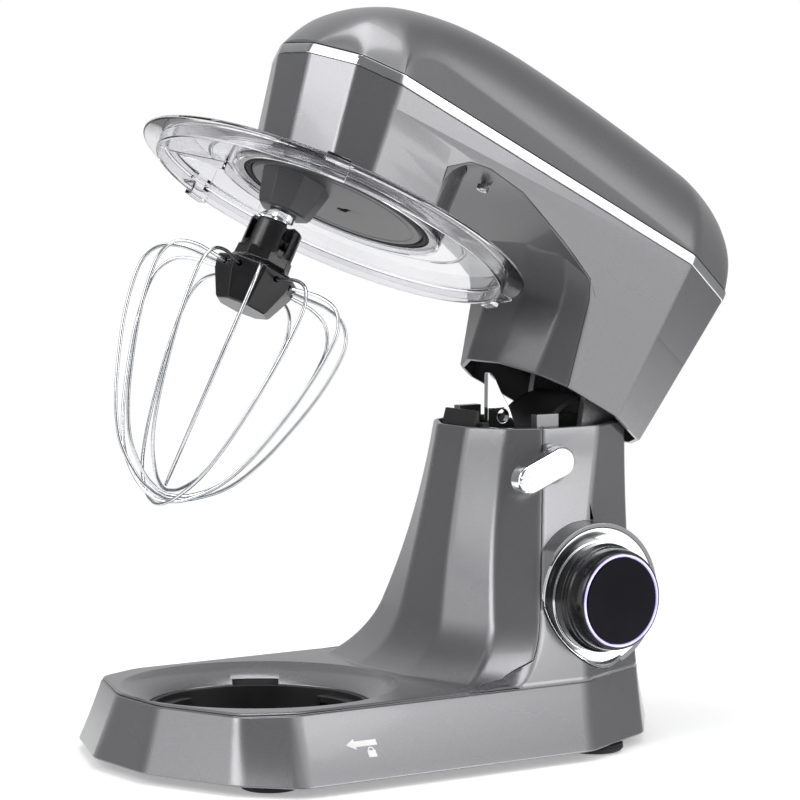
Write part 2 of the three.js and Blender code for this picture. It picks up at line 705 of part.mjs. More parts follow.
// ---- drive train in the head --------------------------------------------------------------------
function motorFrame() {
  const sheet = plate([[-28, -44], [28, -44], [48, -16], [54, 60], [56, 190], [38, 234], [-38, 234],
    [-56, 190],
    [-54, 60], [-48, -16]], plateBottom, plateBottom + plateThickness);
  const tube = disc(18, 252, plateBottom + 1);
  const sides = (s, a, b) => [Math.min(s * a, s * b), Math.max(s * a, s * b)];
  const columns = [-1, 1].map((s) => box(...sides(s, 36, 41), motorY - 10, motorY + 10, 208,
    plateBottom + 1));
  const arms = [-1, 1].map((s) => slab([[motorY - 10, 207], [motorY + 10, 207], [230, 166], [229, 152],
    [220, 147], [209, 150], [204, 162]], ...sides(s, armInner, armOuter), [[hinge.y, hinge.z,
    hinge.pinRadius + gap]]));
  const bar = box(-38, 38, motorY - 10, motorY + 10, 206, 212);
  const lugs = [-1, 1].map((s) => slab([[158, 205], [192, 206], [192, 212], [170, 214], [158, 214]],
    ...sides(s, 14, 19), [[catchBar.y, catchBar.z, catchBar.radius + gap]]));
  return cut(join(sheet, tube, ...columns, ...arms, bar, ...lugs),
    disc(bearingRadius + gap, 240, 300), disc(11, 270, 300, 32).translate(0, motorY, 0),
    disc(motorShaftRadius + gap, 200, 220, 24).translate(0, motorY, 0));
}

function bearing(inner, outer, z0, z1) {
  const mid = (inner + outer) / 2;
  return turned([[inner + gap, z0], [mid - 1.5, z0], [mid - 1.5, z0 + 0.6], [mid + 1.5, z0 + 0.6],
    [mid + 1.5, z0],
    [outer, z0], [outer, z1], [inner + gap, z1], [inner + gap, z0]], 14);
}

function hingeShield() {
  const outer = 40;
  const start = Math.PI * 0.55;
  const points = (r) => Array.from({ length: 15 }, (_, i) => {
    const angle = mix(start, Math.PI, i / 14);
    return [hinge.y + r * Math.cos(angle), hinge.z + r * Math.sin(angle)];
  });
  return slab([...points(outer), ...points(outer - wall).reverse()], 1 - armInner, armInner - 1);
}

function motorStator() {
  const core = cut(ring(19.4, motorRadius, 228, 262, 24), box(-50, 50, 28, 50, 200, 300), box(-50, 50,
    -50, -28, 200, 300));
  const windings = [-1, 1].map((s) => box(Math.min(s * 20.4, s * 28), Math.max(s * 20.4, s * 28), -12,
    12, 224, 266));
  return join(core, ...windings).translate(0, motorY, 0);
}

function motorShaft() {
  return disc(motorShaftRadius, 204, pulleyBottom + pulleyWidth + 3, 24).translate(0, motorY, 0);
}

function rotorCore() {
  const core = turned([[motorShaftRadius + gap, 226], [14, 226], [18.8, 229.5], [18.8, 260], [13, 263],
    [10, 263],
    [10, 271], [motorShaftRadius + gap, 271], [motorShaftRadius + gap, 226]], 20);
  const slots = Array.from({ length: 9 }, (_, k) => box(15.5, 22, -1, 1, 220,
    270).rotateZ(k * 2 * Math.PI / 9));
  return cut(core, ...slots).translate(0, motorY, 0);
}

function coolingFan() {
  const hub = ring(motorShaftRadius + gap, 9, 215, 223, 16);
  const rim = ring(8.5, 28, 215, 216.4, 20);
  const blades = Array.from({ length: 9 }, (_, k) => box(8, 27, -0.8, 0.8, 215.5, 223)
    .rotateX(0.25).rotateZ(k * 2 * Math.PI / 9));
  const band = ring(8, 28, 215, 223.2, 20);
  return join(hub, rim, ...blades.map((b) => common(b, band))).translate(0, motorY, 0);
}

function pulley(radius, bore, segments) {
  const lip = radius + 2.2;
  const [z0, z1] = [pulleyBottom, pulleyBottom + pulleyWidth];
  return turned([[bore + gap, z0], [lip, z0], [lip, z0 + 1], [radius, z0 + 1.6], [radius, z1 - 1.6],
    [lip, z1 - 1],
    [lip, z1], [bore + gap, z1], [bore + gap, z0]], segments);
}

function largePulley() {
  const holes = [0, 1, 2, 3, 4, 5].map((k) => disc(8, 280, 300, 8).translate(26, 0,
    0).rotateZ(k * Math.PI / 3));
  return cut(pulley(largePulleyRadius, carrierShaftRadius, 28), ...holes);
}

function driveBelt() {
  const centre = motorY;
  const lean = Math.asin((largePulleyRadius - smallPulleyRadius) / centre);
  const loopAround = (extra) => {
    const [big, small] = [largePulleyRadius + extra, smallPulleyRadius + extra];
    const arc = (r, cy, from, to, n) => Array.from({ length: n + 1 }, (_, i) => {
      const angle = mix(from, to, i / n);
      return [r * Math.cos(angle), cy + r * Math.sin(angle)];
    });
    return [...arc(big, 0, Math.PI - lean, 2 * Math.PI + lean, 26), ...arc(small, centre, lean,
      Math.PI - lean, 10)];
  };
  const [z0, z1] = [pulleyBottom + 2, pulleyBottom + pulleyWidth - 2];
  return cut(plate(loopAround(gap + beltThickness), z0, z1), plate(loopAround(gap), z0 - 1, z1 + 1));
}

// Tooth outline: trapezoids between the root and tip circles.
function toothed(teeth, root, tip, rootShare, tipShare, phase) {
  const points = [];
  for (let k = 0; k < teeth; k += 1) {
    const centre = phase + k * 2 * Math.PI / teeth;
    const step = Math.PI / teeth;
    [[root, -rootShare], [tip, -tipShare], [tip, tipShare], [root, rootShare]].forEach(([r,
      share]) => points.push(
      [r * Math.cos(centre + share * step), r * Math.sin(centre + share * step)]));
  }
  return points;
}

const gearTop = gearBottom + gearHeight;

function ringGear() {
  const pitch = ringTeeth * gearModule / 2;
  const hollow = toothed(ringTeeth, pitch - gearModule, pitch + 1.2 * gearModule, 0.6, 0.3, -Math.PI / 2);
  return cut(disc(pitch + 6.5, gearBottom, gearTop, 32), plate(hollow, gearBottom - 1, gearTop + 1));
}

function planetGear() {
  const pitch = planetTeeth * gearModule / 2;
  const outline = toothed(planetTeeth, pitch - 1.2 * gearModule, pitch + 0.7 * gearModule, 0.52, 0.18,
    -Math.PI / 2);
  return cut(plate(outline, gearBottom, gearTop), disc(spindleRadius + gap, 0, 300, 32)).translate(0,
    -toolOffset, 0);
}

function planetCarrier() {
  const bodyDisc = turned([[0, discBottom], [discRadius - 1.5, discBottom], [discRadius, discBottom + 1.5],
    [discRadius, discBottom + discThickness], [0, discBottom + discThickness]], 32);
  const housing = turned([[0, 201], [15, 201], [16.5, 204], [21, discBottom + 0.5], [0,
    discBottom + 0.5]], 8)
    .rotateZ(Math.PI / 8).translate(0, -toolOffset, 0);
  const step = disc(14, discBottom + discThickness - 1, 234, 20);
  const shaft = disc(carrierShaftRadius, 230, pulleyBottom + pulleyWidth + 4, 20);
  return cut(join(bodyDisc, housing, step, shaft),
    disc(spindleRadius + gap, 190, 240, 20).translate(0, -toolOffset, 0),
    disc(3, discBottom - 1, discBottom + 2.5, 12).translate(-3, 7, 0));
}

function sealRing() {
  return ring(discRadius + gap, drumRadius - 4 - gap, discBottom + 0.8, discBottom + 4, 32);
}

function toolShaft() {
  const body = turned([[0, 176], [4, 176], [5, 177.5], [5, 196], [8.2, 196], [8.2, 200.6],
    [spindleRadius, 200.6],
    [spindleRadius, gearTop + 3], [0, gearTop + 3]], 20);
  return join(body, rod(2, -10.5, 10.5, 0, 183, 8)).translate(0, -toolOffset, 0);
}

function toolSpring() {
  return coil(6.25, 0.7, 4, 186.5, 195).translate(0, -toolOffset, 0);
}

// ---- whisk and splash guard ----------------------------------------------------------------------
function whiskHub() {
  const body = turned([[0, 141], [16.5, 141], [24, 157], [25, 164.5], [18, 167.5], [17, 175], [0, 175]], 8)
    .rotateZ(Math.PI / 8);
  const collar = disc(15.5, 174, 193, 20);
  const slots = [0, 1].map((k) => box(-20, 20, -2.8, 2.8, 178, 200).rotateZ(k * Math.PI / 2));
  const entries = Array.from({ length: 2 * loopCount }, (_, k) => rod(wireRadius + 2 * gap, 17, 40, 0,
    wireEntry, 6)
    .rotateZ(k * Math.PI / loopCount));
  return cut(join(body, collar), disc(7.6, 172, 200, 16), ...slots, ...entries).translate(0,
    -toolOffset, 0);
}

function whiskWire(index) {
  const scale = whiskRadius / 62.5;
  const lift = index * loopStep;
  const side = [[17.5, wireEntry], [23, wireEntry], [28, wireEntry], [43, wireEntry], [55, 156.5],
    [61.5, whiskShoulder],
    [62.5, 134], [59.5, 112], [53, 87], [44, 61], [32.5, 40], [17, 26], [6, 21]];
  const shaped = side.map(([r, z]) => [r > 20 ? r * scale : r,
    z > wireEntry - 1 ? z : z + (whiskTip - 20 + lift) * Math.max(0,
    (wireEntry - z) / (wireEntry - 20)) ** 1.4]);
  const points = [...shaped.map(([r, z]) => new THREE.Vector3(r, 0, z)),
    new THREE.Vector3(0, 0, whiskTip + lift),
    ...shaped.reverse().map(([r, z]) => new THREE.Vector3(-r, 0, z))];
  return sweep(points, wireRadius, 28, 5).rotateZ(index * Math.PI / loopCount).translate(0, -toolOffset, 0);
}

function splashGuard() {
  const collar = drumRadius + gap;
  const pan = turned([[collar, 220], [collar, 231], [collar + 2.4, 231], [collar + 2.4, 226.5],
    [guardRadius - 3, 221], [guardFlangeRadius, 218.5], [guardFlangeRadius, 216.3], [guardRadius + 1.5,
    217],
    [guardRadius + 1.5, guardRim], [guardRadius - 0.8, guardRim], [guardRadius - 0.8, 218.6],
    [collar + 2.4, 224], [collar + 2.4, 220], [collar, 220]], 32);
  const clips = [-35, 75, 195].map((angle) => box(guardRadius + 0.5, guardRadius + 4, -8, 8,
    guardRim + 1.5, 219)
    .rotateZ(angle * Math.PI / 180));
  const spread = 26 * Math.PI / 180;
  const wedge = (from, to, r0, r1, z0, z1) => {
    const arc = (r, a, b) => Array.from({ length: 8 }, (_, i) => [r * Math.cos(mix(a, b, i / 7)),
      r * Math.sin(mix(a, b, i / 7))]);
    return plate([...arc(r1, from, to), ...arc(r0, to, from)], z0, z1);
  };
  const middle = chuteAngle * Math.PI / 180;
  const chute = cut(
    wedge(middle - spread, middle + spread, 70, guardRadius + 4, 219, 240),
    wedge(middle - spread + 0.025, middle + spread - 0.025, 72.2, guardRadius + 1.8, 210, 250));
  const mouth = wedge(middle - spread + 0.025, middle + spread - 0.025, 72.2, guardRadius - 4, 205, 250);
  return cut(join(pan, chute, ...clips), mouth);
}

// ---- assembly ---------------------------------------------------------------------------------
function mesh(name, geometry, [color, roughness, metalness]) {
  const material = new THREE.MeshStandardMaterial({ color, roughness, metalness, flatShading: true });
  const piece = new THREE.Mesh(geometry, material);
  piece.name = name;
  return piece;
}

const stand = new THREE.Group();
stand.add(
  mesh('base_housing', baseHousing(), gray),
  mesh('deck_cover', deckCover(), gray),
  mesh('bowl_lock_ring', bowlLockRing(), black),
  mesh('base_plate', basePlate(), black),
  mesh('column_collar', columnCollar(), black),
  mesh('hinge_bracket', hingeBracket(), darkSteel),
  mesh('hinge_pin', rod(hinge.pinRadius, -hinge.pinHalf, hinge.pinHalf, hinge.y, hinge.z, 24), steel),
  mesh('tilt_spring', tiltSpring(), steel),
  mesh('lever_spring', leverSpring(), steel),
  mesh('knob_bezel', knobBezel(), chrome),
  mesh('speed_knob', speedKnob(), black),
  mesh('knob_light_ring', knobLightRing(), glow),
  mesh('knob_display', knobDisplay(), black),
  mesh('speed_encoder', speedEncoder(), nylon),
  mesh('control_board', controlBoard(), pcb),
  mesh('cord_gland', cordGland(), rubber),
  mesh('release_lever', releaseLever(), chrome),
  mesh('lever_shaft', leverShaft(), steel),
  mesh('latch_hook', latchHook(), chrome),
);

const corners = ['front_left', 'front_right', 'rear_left', 'rear_right'];
corners.forEach((corner, k) => {
  stand.add(mesh(`foot_${corner}`, foot().translate(...footPlaces[k], 0), rubber));
  stand.add(mesh(`base_screw_${corner}`, baseScrew().translate(...screwPlaces[k], 0), darkSteel));
});

const head = new THREE.Group();
head.position.set(0, hinge.y, hinge.z);
head.rotation.x = -THREE.MathUtils.degToRad(tiltDegrees);
const closed = new THREE.Group();
closed.position.set(0, -hinge.y, -hinge.z);
head.add(closed);
closed.add(
  mesh('head_lower_housing', headLowerHousing(), gray),
  mesh('head_top_cover', headTopCover(), gray),
  mesh('trim_band', trimBand(), chrome),
  mesh('neck_front_cover', neckFrontCover(), gray),
  mesh('cover_screw_left', coverScrew(-1), steel),
  mesh('cover_screw_right', coverScrew(1), steel),
  mesh('hinge_shield', hingeShield(), black),
  mesh('motor_frame', motorFrame(), darkSteel),
  mesh('catch_bar', rod(catchBar.radius, -21, 21, catchBar.y, catchBar.z, 24), steel),
  mesh('carrier_bearing_lower', bearing(carrierShaftRadius, bearingRadius, 253, 260), steel),
  mesh('carrier_bearing_upper', bearing(carrierShaftRadius, bearingRadius, 270, 277), steel),
  mesh('motor_bearing', bearing(motorShaftRadius, 11 - gap, 274, 278.5).translate(0, motorY, 0), steel),
  mesh('motor_stator', motorStator(), copper),
  mesh('motor_shaft', motorShaft(), steel),
  mesh('rotor_core', rotorCore(), copper),
  mesh('cooling_fan', coolingFan(), nylon),
  mesh('motor_pulley', pulley(smallPulleyRadius, motorShaftRadius, 20).translate(0, motorY, 0), darkSteel),
  mesh('large_pulley', largePulley(), nylon),
  mesh('drive_belt', driveBelt(), rubber),
  mesh('ring_gear', ringGear(), nylon),
  mesh('planet_carrier', planetCarrier(), gray),
  mesh('seal_ring', sealRing(), rubber),
  mesh('planet_gear', planetGear(), darkSteel),
  mesh('tool_shaft', toolShaft(), chrome),
  mesh('tool_spring', toolSpring(), steel),
  mesh('whisk_hub', whiskHub(), black),
  mesh('splash_guard', splashGuard(), clear),
);
for (let k = 0; k < loopCount; k += 1) closed.add(mesh(`whisk_wire_${k + 1}`, whiskWire(k), chrome));

const group = new THREE.Group();
group.add(stand, head);

// Puts the frame's origin at the bottom centre of the whole mixer.
group.updateMatrixWorld(true);
const bounds = new THREE.Box3().setFromObject(group, true);
group.position.set(-(bounds.min.x + bounds.max.x) / 2, -(bounds.min.y + bounds.max.y) / 2, -bounds.min.z);

export default group;
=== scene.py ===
"""Studio scene of a tilt-head stand mixer: finishes, rounded casings and finely modelled fittings."""
import math

import bpy
from mathutils import Matrix, Vector


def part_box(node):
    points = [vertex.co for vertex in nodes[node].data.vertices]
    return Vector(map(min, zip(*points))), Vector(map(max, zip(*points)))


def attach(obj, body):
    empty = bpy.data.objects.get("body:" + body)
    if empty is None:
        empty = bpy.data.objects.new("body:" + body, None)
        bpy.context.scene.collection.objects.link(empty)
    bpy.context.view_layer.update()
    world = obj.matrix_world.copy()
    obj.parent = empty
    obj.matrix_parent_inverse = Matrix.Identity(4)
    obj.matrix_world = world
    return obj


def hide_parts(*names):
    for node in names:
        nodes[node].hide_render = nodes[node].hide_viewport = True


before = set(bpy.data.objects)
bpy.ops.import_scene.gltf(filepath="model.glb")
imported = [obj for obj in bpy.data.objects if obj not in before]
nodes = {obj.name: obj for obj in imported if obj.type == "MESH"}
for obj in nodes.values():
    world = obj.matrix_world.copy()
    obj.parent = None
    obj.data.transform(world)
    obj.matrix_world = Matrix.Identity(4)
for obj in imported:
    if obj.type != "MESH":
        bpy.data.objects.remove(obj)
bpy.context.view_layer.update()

low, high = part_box("bowl_lock_ring")
DISH = Vector(((low.x + high.x) / 2, (low.y + high.y) / 2, 0.0))


# ---------------------------------------------------------------- finishes

def new_finish(name):
    """A material with its shader and the piece's own Object coordinates."""
    finish = bpy.data.materials.new(name)
    finish.use_nodes = True
    tree = finish.node_tree
    shader = tree.nodes["Principled BSDF"]
    place = tree.nodes.new("ShaderNodeTexCoord").outputs["Object"]
    return finish, tree, shader, place


def noise(tree, place, scale, detail=3.0, stretch=(1, 1, 1)):
    """Noise on the piece's coordinates, stretched along the axes given."""
    mapping = tree.nodes.new("ShaderNodeMapping")
    mapping.inputs["Scale"].default_value = stretch
    grain = tree.nodes.new("ShaderNodeTexNoise")
    grain.inputs["Scale"].default_value = scale
    grain.inputs["Detail"].default_value = detail
    tree.links.new(place, mapping.inputs["Vector"])
    tree.links.new(mapping.outputs["Vector"], grain.inputs["Vector"])
    return grain.outputs["Fac"]


def ramp(tree, value, low_end, high_end, start=0.35, end=0.65):
    """Value spread between two colours."""
    band = tree.nodes.new("ShaderNodeValToRGB")
    band.color_ramp.elements[0].position = start
    band.color_ramp.elements[1].position = end
    band.color_ramp.elements[0].color = (*low_end, 1)
    band.color_ramp.elements[1].color = (*high_end, 1)
    tree.links.new(value, band.inputs["Fac"])
    return band.outputs["Color"]


def between(tree, value, low_end, high_end):
    """Value rescaled from 0..1 to a range."""
    spread = tree.nodes.new("ShaderNodeMapRange")
    spread.inputs["To Min"].default_value = low_end
    spread.inputs["To Max"].default_value = high_end
    tree.links.new(value, spread.inputs["Value"])
    return spread.outputs["Result"]


def bump(tree, shader, height, strength, distance):
    """Relief from a height value."""
    relief = tree.nodes.new("ShaderNodeBump")
    relief.inputs["Strength"].default_value = strength
    relief.inputs["Distance"].default_value = distance
    tree.links.new(height, relief.inputs["Height"])
    tree.links.new(relief.outputs["Normal"], shader.inputs["Normal"])


def lacquer(name, dark, light, roughness, metallic, coat):
    """Metallic lacquer: fine flake in the colour, a clear coat and a faint orange peel."""
    finish, tree, shader, place = new_finish(name)
    flake = noise(tree, place, 2600, 1.0)
    tree.links.new(ramp(tree, flake, dark, light), shader.inputs["Base Color"])
    tree.links.new(between(tree, noise(tree, place, 14), roughness * 0.85, roughness * 1.2),
                   shader.inputs["Roughness"])
    shader.inputs["Metallic"].default_value = metallic
    shader.inputs["Coat Weight"].default_value = coat
    shader.inputs["Coat Roughness"].default_value = 0.05
    bump(tree, shader, noise(tree, place, 420, 1.0), 0.04, 0.0002)
    return finish


def moulded(name, dark, light, roughness, grain_scale, relief):
    """Moulded plastic or rubber: mottled colour, uneven gloss and a fine grain."""
    finish, tree, shader, place = new_finish(name)
    tree.links.new(ramp(tree, noise(tree, place, 60), dark, light), shader.inputs["Base Color"])
    tree.links.new(between(tree, noise(tree, place, 25), roughness * 0.8, min(1, roughness * 1.25)),
                   shader.inputs["Roughness"])
    bump(tree, shader, noise(tree, place, grain_scale, 2.0), relief, 0.0002)
    return finish


def metal(name, dark, light, roughness, stretch, scale, relief):
    """Bare or plated metal, with drawn lines along the stretched axis."""
    finish, tree, shader, place = new_finish(name)
    lines = noise(tree, place, scale, 4.0, stretch)
    tree.links.new(ramp(tree, lines, dark, light), shader.inputs["Base Color"])
    tree.links.new(between(tree, lines, roughness * 0.7, roughness * 1.3), shader.inputs["Roughness"])
    shader.inputs["Metallic"].default_value = 1.0
    bump(tree, shader, lines, relief, 0.0001)
    return finish


def clear_plastic():
    finish, tree, shader, place = new_finish("clear_polycarbonate")
    tree.links.new(ramp(tree, noise(tree, place, 9), (0.80, 0.80, 0.82), (0.86, 0.86, 0.88)),
                   shader.inputs["Base Color"])
    tree.links.new(between(tree, noise(tree, place, 30), 0.01, 0.03), shader.inputs["Roughness"])
    shader.inputs["Transmission Weight"].default_value = 1.0
    shader.inputs["IOR"].default_value = 1.38
    bump(tree, shader, noise(tree, place, 55, 1.0), 0.05, 0.0004)
    return finish


def lit_ring():
    finish, tree, shader, place = new_finish("lavender_light_ring")
    glow = ramp(tree, noise(tree, place, 70), (0.42, 0.36, 0.86), (0.58, 0.53, 0.95))
    tree.links.new(glow, shader.inputs["Base Color"])
    tree.links.new(glow, shader.inputs["Emission Color"])
    shader.inputs["Emission Strength"].default_value = 0.9
    shader.inputs["Roughness"].default_value = 0.3
    return finish


def black_glass():
    finish, tree, shader, place = new_finish("black_display_glass")
    tree.links.new(ramp(tree, noise(tree, place, 20), (0.003, 0.003, 0.006), (0.006, 0.006, 0.011)),
                   shader.inputs["Base Color"])
    tree.links.new(between(tree, noise(tree, place, 40), 0.10, 0.16), shader.inputs["Roughness"])
    shader.inputs["Specular IOR Level"].default_value = 0.1
    return finish


def circuit_board():
    finish, tree, shader, place = new_finish("green_circuit_board")
    tracks = tree.nodes.new("ShaderNodeTexBrick")
    tracks.inputs["Scale"].default_value = 160
    tracks.inputs["Color1"].default_value = (0.02, 0.13, 0.06, 1)
    tracks.inputs["Color2"].default_value = (0.03, 0.17, 0.08, 1)
    tracks.inputs["Mortar"].default_value = (0.10, 0.30, 0.16, 1)
    tree.links.new(place, tracks.inputs["Vector"])
    tree.links.new(tracks.outputs["Color"], shader.inputs["Base Color"])
    shader.inputs["Roughness"].default_value = 0.35
    return finish


GRAY = lacquer("gray_lacquered_casing", (0.205, 0.205, 0.213), (0.255, 0.255, 0.263), 0.26, 0.66, 0.4)
# A darker copy of the gray lacquer: painted shade on the neck's downward-facing front.
PAINTED_SHADE_GRAY = lacquer("gray_casing_painted_shade", (0.105, 0.105, 0.110), (0.140, 0.140, 0.145), 0.34, 0.35, 0.15)
# A still darker copy of the gray lacquer for the carrier disc under the head: painted shade.
CARRIER_PAINTED_SHADE_GRAY = lacquer("carrier_satin_gray_painted_shade", (0.060, 0.060, 0.063), (0.085, 0.085, 0.089), 0.4, 0.25, 0.05)
CHROME = metal("polished_chrome", (0.80, 0.81, 0.83), (0.90, 0.91, 0.92), 0.06, (1, 1, 1), 40, 0.01)
STEEL = metal("polished_steel", (0.55, 0.56, 0.58), (0.72, 0.73, 0.75), 0.18, (1, 1, 12), 160, 0.06)
DARK_STEEL = metal("blackened_steel", (0.12, 0.12, 0.13), (0.22, 0.22, 0.23), 0.38, (1, 9, 1), 120, 0.12)
CAST = metal("cast_aluminium", (0.38, 0.38, 0.39), (0.52, 0.52, 0.53), 0.45, (1, 1, 1), 500, 0.35)
COPPER = metal("copper_windings", (0.42, 0.17, 0.07), (0.62, 0.28, 0.13), 0.3, (1, 1, 14), 260, 0.3)
BLACK = moulded("black_gloss_plastic", (0.006, 0.006, 0.007), (0.012, 0.012, 0.013), 0.2, 300, 0.05)
SATIN_BLACK = moulded("black_satin_plastic", (0.010, 0.010, 0.011), (0.018, 0.018, 0.019), 0.45, 900, 0.2)
RUBBER = moulded("black_rubber", (0.008, 0.008, 0.008), (0.016, 0.016, 0.016), 0.75, 700, 0.4)
NYLON = moulded("natural_nylon", (0.66, 0.63, 0.55), (0.74, 0.72, 0.64), 0.45, 400, 0.12)
CLEAR = clear_plastic()
PRINT = moulded("white_print", (0.80, 0.80, 0.80), (0.88, 0.88, 0.88), 0.5, 900, 0.1)
GLOW = lit_ring()
GLASS = black_glass()
BOARD = circuit_board()

FINISH_OF_NODE = {
    GRAY: ["base_housing", "deck_cover", "head_lower_housing", "head_top_cover", "neck_front_cover",
           "planet_carrier"],
    SATIN_BLACK: ["bowl_lock_ring", "base_plate", "column_collar", "hinge_shield"],
    BLACK: ["speed_knob", "whisk_hub"],
    GLASS: ["knob_display"],
    DARK_STEEL: ["hinge_bracket", "planet_gear"],
    CAST: ["motor_frame", "motor_pulley"],
    STEEL: ["hinge_pin", "tilt_spring", "lever_spring", "lever_shaft", "catch_bar", "cover_screw_left",
            "cover_screw_right", "motor_shaft", "carrier_bearing_lower", "carrier_bearing_upper",
            "motor_bearing", "tool_spring", "tool_shaft"],
    CHROME: ["knob_bezel", "release_lever", "latch_hook", "trim_band"],
    GLOW: ["knob_light_ring"],
    NYLON: ["speed_encoder", "cooling_fan", "large_pulley", "ring_gear"],
    BOARD: ["control_board"],
    RUBBER: ["cord_gland", "drive_belt", "seal_ring"],
    COPPER: ["motor_stator", "rotor_core"],
    CLEAR: ["splash_guard"],
}
for number in range(1, 7):
    FINISH_OF_NODE[STEEL].append(f"whisk_wire_{number}")
for corner in ("front_left", "front_right", "rear_left", "rear_right"):
    FINISH_OF_NODE[DARK_STEEL].append(f"base_screw_{corner}")
    FINISH_OF_NODE[RUBBER].append(f"foot_{corner}")


def give_finish(piece, finish):
    piece.data.materials.clear()
    piece.data.materials.append(finish)


for finish, names in FINISH_OF_NODE.items():
    for name in names:
        give_finish(nodes[name], finish)


# ---------------------------------------------------------------- shaping tools, in millimetres

MM = 0.001
TILT = math.radians(27.5)
HINGE = Vector((0, 218, 160))
STAND = Matrix.Translation(DISH) @ Matrix.Scale(MM, 4)
HEAD = STAND @ Matrix.Translation(HINGE) @ Matrix.Rotation(-TILT, 4, "X") @ Matrix.Translation(-HINGE)
TOOL = HEAD @ Matrix.Translation((0, -30, 0))
GAP = 0.35
WALL = 3.0


def mix(a, b, t):
    return a + (b - a) * t


def steps(start, end, count):
    return [mix(start, end, k / (count - 1)) for k in range(count)]


def mirrored(half):
    return list(half) + [(-x, y) for x, y in reversed(half)]


def pick_only(piece):
    """Makes one piece the selected and active one."""
    bpy.ops.object.select_all(action="DESELECT")
    piece.select_set(True)
    bpy.context.view_layer.objects.active = piece


def inset(outline, distance):
    """A closed outline moved inwards by a distance."""
    moved = []
    for k, point in enumerate(outline):
        here = Vector(point)
        before = (here - Vector(outline[k - 1])).normalized()
        after = (Vector(outline[(k + 1) % len(outline)]) - here).normalized()
        turn = before.x * after.y - before.y * after.x
        start = here + Vector((-before.y, before.x)) * distance
        if abs(turn) > 1e-6:
            other = here + Vector((-after.y, after.x)) * distance - start
            start += before * ((other.x * after.y - other.y * after.x) / turn)
        moved.append(tuple(start))
    return moved


def rounded(outline, reach, pieces=4):
    """A closed outline whose corners are eased over a reach along each side."""
    eased = []
    for k, point in enumerate(outline):
        here, before, after = Vector(point), Vector(outline[k - 1]), Vector(outline[(k + 1) % len(outline)])
        span = min(reach, 0.35 * (before - here).length, 0.35 * (after - here).length)
        start = here + (before - here).normalized() * span
        end = here + (after - here).normalized() * span
        for step in range(pieces + 1):
            t = step / pieces
            eased.append(tuple(start * (1 - t) ** 2 + here * 2 * t * (1 - t) + end * t ** 2))
    return eased


def smooth_line(points, per_span=6):
    """A smooth curve through the points given."""
    ends = [points[0]] + [Vector(p) for p in points] + [points[-1]]
    ends = [Vector(p) for p in ends]
    line = []
    for k in range(1, len(ends) - 2):
        p0, p1, p2, p3 = ends[k - 1:k + 3]
        for step in range(per_span):
            t = step / per_span
            line.append(0.5 * (2 * p1 + (p2 - p0) * t + (2 * p0 - 5 * p1 + 4 * p2 - p3) * t ** 2
                               + (3 * p1 - p0 - 3 * p2 + p3) * t ** 3))
    return line + [ends[-2]]


def weld(piece):
    """Merges doubled points, closes open ends and turns the faces outwards."""
    pick_only(piece)
    bpy.ops.object.mode_set(mode="EDIT")
    bpy.ops.mesh.select_all(action="SELECT")
    bpy.ops.mesh.remove_doubles(threshold=0.001)
    bpy.ops.mesh.delete_loose(use_verts=True, use_edges=True, use_faces=False)
    bpy.ops.mesh.select_all(action="SELECT")
    bpy.ops.mesh.fill_holes(sides=0)
    bpy.ops.mesh.select_all(action="SELECT")
    bpy.ops.mesh.normals_make_consistent(inside=False)
    bpy.ops.object.mode_set(mode="OBJECT")
    return piece


def loft(rings):
    """A solid skinned over closed rings of points."""
    across = len(rings[0])
    bpy.ops.object.select_all(action="DESELECT")
    bpy.ops.mesh.primitive_grid_add(x_subdivisions=across, y_subdivisions=len(rings) - 1)
    piece = bpy.context.object
    for vertex in piece.data.vertices:
        row, column = divmod(vertex.index, across + 1)
        vertex.co = rings[row][column % across]
    return weld(piece)


def turned(profile, segments=96, axis="Z"):
    """A solid spun from a closed profile of (radius, height) about Z, or laid along X."""
    bpy.ops.object.select_all(action="DESELECT")
    bpy.ops.mesh.primitive_circle_add(vertices=len(profile), fill_type="NOTHING")
    piece = bpy.context.object
    for vertex, (radius, height) in zip(piece.data.vertices, profile):
        vertex.co = (radius, 0, height)
    bpy.ops.object.mode_set(mode="EDIT")
    bpy.ops.mesh.select_all(action="SELECT")
    bpy.ops.mesh.spin(steps=segments, angle=2 * math.pi, center=(0, 0, 0), axis=(0, 0, 1))
    bpy.ops.object.mode_set(mode="OBJECT")
    weld(piece)
    if axis == "X":
        piece.data.transform(Matrix.Rotation(math.pi / 2, 4, "Y"))
    return piece


def disc(radius, z0, z1, segments=96):
    return turned([(0, z0), (radius, z0), (radius, z1), (0, z1)], segments)


def ring(inner, outer, z0, z1, segments=96):
    return turned([(inner, z0), (outer, z0), (outer, z1), (inner, z1)], segments)


def moved(piece, x=0.0, y=0.0, z=0.0, turn=None):
    """Moves a piece, after turning it by an angle about an axis."""
    if turn:
        piece.data.transform(Matrix.Rotation(turn[0], 4, turn[1]))
    piece.data.transform(Matrix.Translation((x, y, z)))
    return piece


def rod(radius, x0, x1, y, z, segments=48):
    return moved(turned([(0, x0), (radius, x0), (radius, x1), (0, x1)], segments, "X"), 0, y, z)


def plate(outline, z0, z1):
    """An X-Y outline raised from z0 to z1."""
    return loft([[(x, y, z) for x, y in outline] for z in (z0, z1)])


def slab(outline, x0, x1):
    """A Y-Z outline spread from x0 to x1."""
    return loft([[(x, y, z) for y, z in outline] for x in (x0, x1)])


def box(x0, x1, y0, y1, z0, z1):
    return plate([(x0, y0), (x1, y0), (x1, y1), (x0, y1)], z0, z1)


def carve(piece, operation, tools):
    for tool in tools:
        step = piece.modifiers.new("carve", "BOOLEAN")
        step.operation, step.solver, step.object = operation, "MANIFOLD", tool
        pick_only(piece)
        bpy.ops.object.modifier_apply(modifier=step.name)
        bpy.data.objects.remove(tool)
    return piece


def cut(piece, *tools):
    return carve(piece, "DIFFERENCE", tools)


def join(piece, *tools):
    return carve(piece, "UNION", tools)


def common(piece, *tools):
    return carve(piece, "INTERSECT", tools)


